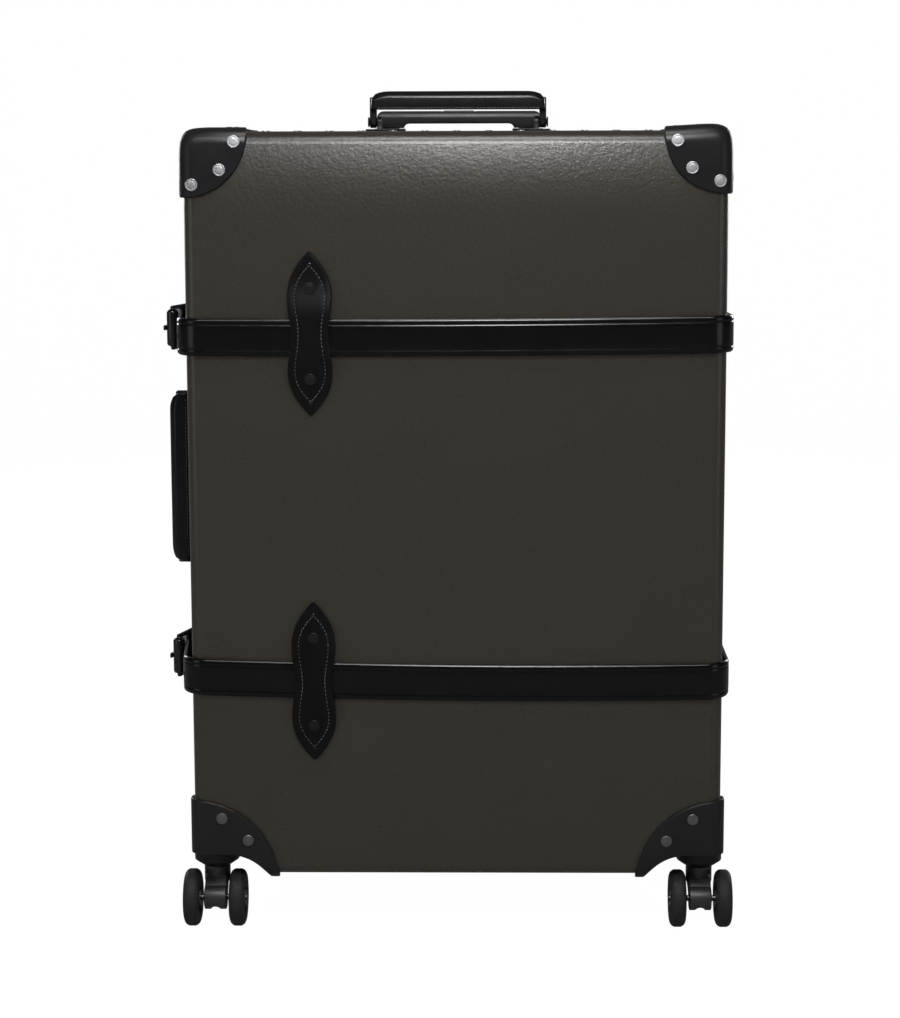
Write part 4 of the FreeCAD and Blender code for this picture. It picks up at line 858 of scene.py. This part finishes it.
def punched(piece, cutters):
    """Cuts the shapes of other objects out of a piece."""
    for cutter in cutters:
        bpy.context.view_layer.objects.active = piece
        punch = piece.modifiers.new("punch", "BOOLEAN")
        punch.object = cutter
        punch.solver = "EXACT"
        bpy.ops.object.modifier_apply(modifier="punch")
        bpy.data.objects.remove(cutter)


HOLE_RADIUS = 2.2 * MM
HOLE_PITCH = 24.4 * MM
HOLES_FROM_HEEL = (-2, -3, -4, -5, 2)
PRONG_SLOT = 6.6 * MM
SLOT_LENGTH = 18 * MM
SLOT_TO_HEEL = 9.5 * MM
PUNCH_LENGTH = 60 * MM
punch_x = -side_x - 20 * MM
front_line = front_y - strap_middle
back_line = back_y + strap_middle
right_line = side_x + strap_middle
left_line = -side_x - strap_middle
under_roller = (-side_x - ROLLER_OUT, heel.y - HEEL_TO_ROLLER)
into_keeper = (tongue_x, keeper_y - KEEPER_WIDTH)
FOLD_ROOM = 9.3 * MM

folds = eased_copy("strap_folds", "rear_straps", width=0.6 * MM)
bpy.ops.object.mode_set(mode="EDIT")
bpy.ops.mesh.select_all(action="SELECT")
bpy.ops.mesh.bisect(plane_co=(0, heel.y + FOLD_ROOM, 0), plane_no=(0, 1, 0), clear_outer=True, use_fill=True)
bpy.ops.mesh.select_all(action="SELECT")
bpy.ops.mesh.bisect(plane_co=(0, 0, 0), plane_no=(1, 0, 0), clear_outer=True)
bpy.ops.object.mode_set(mode="OBJECT")
fit(folds, "base", strap_leather, "strap_leather")

for where, z in strap_levels.items():
    tongue = swept(
        f"strap_tongue_{where}", strap_section(),
        [(SPLIT_X, front_line), (left_line - LOOSE_SIDE, front_line - LOOSE_FRONT), under_roller,
         heel_corner(under_roller, into_keeper), into_keeper, (tongue_x, strap_high.y)],
        [LOOSE_BEND, GENTLE_BEND, HEEL_BEND, KEEPER_BEND], z)
    cutters = []
    for step in HOLES_FROM_HEEL:
        bpy.ops.mesh.primitive_cylinder_add(
            vertices=24, radius=HOLE_RADIUS, depth=PUNCH_LENGTH, rotation=(0, math.pi / 2, 0),
            location=(punch_x, heel.y + HOLE_PITCH * step, z))
        cutters.append(bpy.context.object)
    bpy.ops.mesh.primitive_cube_add(size=1, location=(punch_x, heel.y - SLOT_TO_HEEL, z))
    bpy.context.object.scale = (PUNCH_LENGTH, SLOT_LENGTH, PRONG_SLOT)
    cutters.append(bpy.context.object)
    punched(tongue, cutters)
    hung(tongue, where, z)
    fit(tongue, "lid", strap_leather, "strap_leather")
    girth = swept(
        f"strap_girth_{where}", strap_section(),
        [(chape_x, heel.y + FOLD_ROOM), (chape_x, keeper_y + KEEPER_WIDTH * 2), (left_line, back_line),
         (right_line, back_line), (right_line + LOOSE_SIDE, front_line - LOOSE_FRONT), (SPLIT_X, front_line)],
        [GENTLE_BEND, edge_bend, edge_bend, LOOSE_BEND], z)
    hung(girth, where, z)
    girth.data.materials.append(strap_leather.material)
    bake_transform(girth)
    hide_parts("front_straps", "rear_straps")
keepers = eased_copy("strap_keeper_bands", "strap_keepers", width=0.7 * MM)
fit(keepers, "base", strap_leather, "strap_leather", "strap_keepers")


# Strap loops: two layers of leather cut to a double point, stitched round the edge and riveted to the shell.
# They are drawn in at the waist, where they step up over the strap.

loop_leather = bridle(
    "loop_leather", dark=(0.0017, 0.0017, 0.0021), bright=(0.0027, 0.0027, 0.0032), rough=0.28, shine=0.18)
LOOP_THICK = 3.0 * MM
LOOP_ROWS = 120
LOOP_COLUMNS = 20
LOOP_TIP = 79.3 * MM
LOOP_LOBE = 35.6 * MM
LOOP_HALF = 21.6 * MM
LOOP_WAIST = 18.1 * MM
LOOP_EDGE = 7.2 * MM
LOOP_PUFF = 0.5 * MM
PUFF_OVER = 3.5 * MM
SEAM_TIP = 65.3 * MM
SEAM_WIDTH = 0.9 * MM
SEAM_DEPTH = 0.5 * MM
SEAM_STEPS = 300
TIP_CURVE = 2.15
STITCH_PITCH = 3.6 * MM
LOOP_STITCH = (2.6 * MM, 0.3 * MM)
RIDE_FLAT = 17.5 * MM
RIDE_END = 60 * MM
loop_x = sum(corner.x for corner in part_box("front_strap_loops")) / 2
loop_rise = STRAP_GAP + STRAP_THICK + 0.4 * MM
LOOP_SHIFT = {"upper": 1.5 * MM, "lower": -5.0 * MM}


def loop_outline(up, edge, tip):
    """Half the width of the loop's outline, or of a line inside it, at a height from its middle."""
    up = abs(up)
    if up < LOOP_LOBE:
        share = 0.5 - 0.5 * math.cos(math.pi * up / LOOP_LOBE)
        return LOOP_WAIST - edge + (LOOP_HALF - LOOP_WAIST) * share
    share = min(1.0, (up - LOOP_LOBE) / (tip - LOOP_LOBE))
    return (LOOP_HALF - edge) * (1 - share ** TIP_CURVE)


def loop_lift(from_strap):
    """How far the loop stands off the shell at a height from the middle of the strap it crosses."""
    share = min(1.0, max(0.0, (RIDE_END - abs(from_strap)) / (RIDE_END - RIDE_FLAT)))
    return loop_rise * share * share * (3 - 2 * share)


def strap_loop(name, face, y, z, strap_z):
    """A sheet shaped to the loop's outline and laid over the strap, given its thickness and a soft edge."""
    bpy.ops.object.select_all(action="DESELECT")
    bpy.ops.mesh.primitive_grid_add(x_subdivisions=LOOP_COLUMNS, y_subdivisions=LOOP_ROWS, size=2)
    loop = bpy.context.object
    loop.name = name
    for vertex in loop.data.vertices:
        across, along = vertex.co.x, vertex.co.y
        up = LOOP_TIP * (0.75 * along + 0.25 * math.sin(along * math.pi / 2)) * 0.9995
        wide = loop_outline(up, 0, LOOP_TIP)
        reach = abs(across) * wide
        seam = math.exp(-((reach - loop_outline(up, LOOP_EDGE, SEAM_TIP)) / SEAM_WIDTH) ** 2)
        puff = LOOP_PUFF * min(1.0, max(0.0, (wide - reach) / PUFF_OVER))
        if abs(up) > SEAM_TIP:
            seam = 0
        out = loop_lift(z + up - strap_z) + LOOP_THICK + puff - SEAM_DEPTH * seam
        vertex.co = Vector((loop_x + across * wide, y + face * out, z + up))
    bpy.ops.object.mode_set(mode="EDIT")
    bpy.ops.mesh.select_all(action="SELECT")
    bpy.ops.mesh.remove_doubles(threshold=0.05 * MM)
    bpy.ops.object.mode_set(mode="OBJECT")
    if sum(polygon.normal.y * face * polygon.area for polygon in loop.data.polygons) < 0:
        loop.data.flip_normals()
    layer = loop.modifiers.new("layer", "SOLIDIFY")
    layer.thickness = LOOP_THICK
    layer.offset = -1
    bpy.ops.object.modifier_apply(modifier="layer")
    ease(loop, 0.8 * MM, angle=60)
    bpy.ops.object.shade_smooth_by_angle(angle=math.radians(50))
    return loop


thread = Finish("waxed_thread")
twist_place = thread.place()
thread.surface(
    Base_Color=thread.mix(thread.noise(twist_place, scale=900.0), (0.06, 0.06, 0.063), (0.15, 0.15, 0.156)),
    Roughness=0.5,
    Specular_IOR_Level=0.4,
)


def stitches(name, runs, length, radius):
    """Short rounded threads, each laid along its own direction."""
    bpy.ops.object.select_all(action="DESELECT")
    bpy.ops.mesh.primitive_uv_sphere_add(segments=6, ring_count=5, radius=1)
    stitch = bpy.context.object
    stitch.data.transform(Matrix.Diagonal((radius, radius, length / 2, 1)))
    bpy.ops.object.shade_smooth()
    return copies_of(stitch, name, runs)


def loop_seam(face, y, z, strap_z):
    """Where the stitches of one loop lie, and which way each points."""
    line = []
    for hand in (1, -1):
        for step in range(2 * SEAM_STEPS + 1):
            up = hand * SEAM_TIP * (1 - step / SEAM_STEPS)
            wide = loop_outline(up, LOOP_EDGE, SEAM_TIP)
            out = loop_lift(z + up - strap_z) + LOOP_THICK + 0.15 * MM
            line.append(Vector((loop_x + hand * wide, y + face * out, z + up)))
    runs = []
    walked = 0.0
    for start, end in zip(line, line[1:]):
        step = (end - start).length
        walked += step
        if walked >= STITCH_PITCH and step > 1e-7:
            walked = 0.0
            runs.append((start, end - start))
    return runs


DOME_FROM_MIDDLE = 66 * MM
DOME_RADIUS = 1.9 * MM
DOME_HEIGHT = 1.0 * MM
LOOP_RIVET_OUT = 0.4 * MM
for loops, half, face, y in (("front", "lid", -1, front_y), ("rear", "base", 1, back_y)):
    domes = []
    crossed = {}
    for where, level in strap_levels.items():
        z = level + LOOP_SHIFT[where]
        strap_z = level + (strap_offset(where, loop_x) if face < 0 else 0)
        crossed[where] = strap_z
        loop = strap_loop(f"{loops}_loop_{where}", face, y, z, strap_z)
        fit(loop, half, loop_leather, "strap_leather", f"{loops}_strap_loops")
        seam = stitches(f"{loops}_loop_seam_{where}", loop_seam(face, y, z, strap_z), *LOOP_STITCH)
        fit(seam, half, thread, "strap_leather")
        for hand in (1, -1):
            place = Vector((loop_x, y + face * (LOOP_THICK + DOME_HEIGHT), z + hand * DOME_FROM_MIDDLE))
            domes.append((place, Vector((0, face, 0)), DOME_RADIUS))
    rivets(f"{loops}_loop_domes", half, black_lacquer, "black_metal", DOME_HEIGHT, domes)
    seats = []
    for place, facing, radius in seats_of(f"{loops}_loop_rivets"):
        where = "upper" if place.z > (strap_low.z + strap_high.z) / 2 else "lower"
        lift = loop_lift(place.z + LOOP_SHIFT[where] - crossed[where])
        move = Vector((0, face * (lift + LOOP_RIVET_OUT), LOOP_SHIFT[where]))
        seats.append((place + move, facing, radius))
    heads = rivets(f"{loops}_loop_rivet_heads", half, satin_lacquer, "black_metal", RIVET_HEIGHT, seats)
    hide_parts(f"{loops}_loop_rivets")


# Roller buckles: cast frames in black lacquer, with a heel bar, a roller and a prong that turns on the bar.
# The fold of the rear strap holds each by its heel bar, and the tongue of the front strap passes through.

for where in ("upper", "lower"):
    buckle = eased_copy(f"roller_buckle_{where}", f"buckle_frame_{where}", width=1.9 * MM, segments=4)
    fit(buckle, f"buckle_{where}", black_lacquer, "black_metal", f"buckle_frame_{where}")
    prong = eased_copy(f"prong_{where}", f"buckle_prong_{where}", width=0.7 * MM)
    fit(prong, f"prong_{where}", black_lacquer, "black_metal", f"buckle_prong_{where}")


# Carry handles: a stiff core wrapped in leather, stitched along both lower edges, between two cast arms.
# The arms swing on the pins of brackets riveted to the base.

GRIP_SWELL = 1.0 * MM
GRIP_ROUND = 5.5 * MM
GRIP_SEAM = 1.3 * MM
GRIP_END = 18 * MM
GRIP_DROOP = 8.0 * MM
GRIP_OVER = 5.5 * MM
GRIP_DEEPER = 0.3 * MM
GRIP_UNDER = 1.5 * MM
GRIP_EDGE = 1.3 * MM
GRIP_STITCH = (2.8 * MM, 0.35 * MM)
handle_leather = bridle(
    "handle_leather", dark=(0.0040, 0.0040, 0.0047), bright=(0.0060, 0.0060, 0.0068), rough=0.17, shine=0.28)


def carry_grip(name, length, width, height):
    """A grip lying along X with its outer side up: rounded along the top, swelling a little in the middle."""
    bpy.ops.object.select_all(action="DESELECT")
    bpy.ops.mesh.primitive_cube_add(size=1)
    grip = bpy.context.object
    grip.name = name
    grip.data.transform(Matrix.Diagonal((length, width, height, 1)))

    def lengthwise(places):
        return abs(places[0].x - places[1].x) > length / 2

    def at_level(places, level):
        return lengthwise(places) and all(abs(place.z - level) < 1e-6 for place in places)

    pick(grip, "EDGE", lambda places: at_level(places, height / 2))
    bpy.ops.mesh.bevel(offset=GRIP_ROUND, segments=1)
    pick(grip, "EDGE", lambda places: at_level(places, -height / 2))
    bpy.ops.mesh.bevel(offset=GRIP_UNDER, segments=3)
    pick(grip, "EDGE", lengthwise)
    bpy.ops.mesh.subdivide(number_cuts=40)
    bpy.ops.object.mode_set(mode="OBJECT")
    for vertex in grip.data.vertices:
        share = 1 - (2 * vertex.co.x / length) ** 2
        droop = min(1, max(0, abs(vertex.co.x) - length / 2 + GRIP_END) / GRIP_END)
        vertex.co.y *= 1 + 2 * GRIP_SWELL * share / width
        vertex.co.z -= GRIP_DROOP * (1 - math.sqrt(1 - droop ** 2)) if vertex.co.z > 0 else GRIP_DEEPER
    ease(grip, GRIP_EDGE, angle=30)
    return grip


def grip_seam(length, width, height):
    """The stitches along both lower edges of a grip that lies along X."""
    runs = []
    count = int(length * 0.94 / STITCH_PITCH)
    for hand in (1, -1):
        for step in range(count):
            x = (step - (count - 1) / 2) * STITCH_PITCH
            swell = GRIP_SWELL * (1 - (2 * x / length) ** 2)
            y = hand * (width / 2 + swell - 0.15 * MM)
            runs.append((Vector((x, y, GRIP_SEAM - GRIP_DEEPER - height / 2)), Vector((1, 0, 0))))
    return runs


upright = Matrix.Rotation(-math.pi / 2, 4, "Y")
for handle, turn in (("top_handle", Matrix.Identity(4)), ("side_handle", upright)):
    low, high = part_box(f"{handle}_grip")
    lying = [abs(value) for value in turn.inverted().to_3x3() @ (high - low)]
    lying[0] += 2 * GRIP_OVER
    seat = Matrix.Translation((low + high) / 2) @ turn
    grip = carry_grip(f"{handle}_leather", *lying)
    grip.data.transform(seat)
    fit(grip, handle, handle_leather, "strap_leather", f"{handle}_grip")
    seam = stitches(f"{handle}_seam", grip_seam(*lying), *GRIP_STITCH)
    seam.data.transform(seat)
    fit(seam, handle, thread, "strap_leather")
    arms = eased_copy(f"{handle}_posts", f"{handle}_arms", width=1.4 * MM)
    fit(arms, handle, satin_lacquer, "black_metal", f"{handle}_arms")
brackets = eased_copy("handle_feet", "handle_brackets", width=0.6 * MM)
fit(brackets, "base", satin_lacquer, "black_metal", "handle_brackets")


# The trolley: satin aluminium tubes that slide in fixed ones, which the base holds behind its lining.
# The grip is moulded black plastic with a release button, and bezels finish the holes in the shell.

satin_tube = steel("satin_aluminium", dark=(0.40, 0.40, 0.41), bright=(0.52, 0.52, 0.53), rough=0.34)
for node in ("trolley_outer_tubes", "trolley_inner_tubes"):
    dress(node, satin_tube)
FINGER_HALF = 57.5 * MM
FINGER_ROUND = 5.5 * MM


def finger_corners(piece):
    """Rounds the two upper corners of the opening for the fingers."""
    low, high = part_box("trolley_grip")

    def is_corner(places):
        beside = all(abs(abs(place.x) - FINGER_HALF) < 0.5 * MM for place in places)
        between = all(low.z + 2 * MM < place.z < high.z - 5 * MM for place in places)
        return beside and between and abs(places[0].y - places[1].y) > 10 * MM

    pick(piece, "EDGE", is_corner)
    bpy.ops.mesh.bevel(offset=FINGER_ROUND, segments=6)
    bpy.ops.object.mode_set(mode="OBJECT")


trolley_grip = eased_copy("trolley_handle", "trolley_grip", width=1.8 * MM, first=finger_corners)
fit(trolley_grip, "trolley", moulded_black, "grip_plastic", "trolley_grip")
button = eased_copy("release_button", "trolley_button", width=0.9 * MM)
fit(button, "button", moulded_black, "grip_plastic", "trolley_button")
bezels = eased_copy("tube_bezels", "trolley_bezels", width=0.8 * MM)
fit(bezels, "base", moulded_black, "grip_plastic", "trolley_bezels")


# Hinges and locks: leaves pressed from sheet steel and locks cast in zinc, all in black lacquer.
# They are riveted to the board beside the parting line, hinges on the right and locks on the left.

for name, node, body in (
    ("lid_leaves", "lid_hinge_leaves", "lid"),
    ("base_leaves", "base_hinge_leaves", "base"),
    ("hasps", "lock_hasps", "lid"),
    ("lock_bodies", "lock_cases", "base"),
    ("bolt_upper_knob", "lock_slider_upper", "bolt_upper"),
    ("bolt_lower_knob", "lock_slider_lower", "bolt_lower"),
):
    fitting = eased_copy(name, node, width=0.5 * MM, segments=2)
    fit(fitting, body, black_lacquer, "black_metal", node)
dress("hinge_pins", axle_steel)
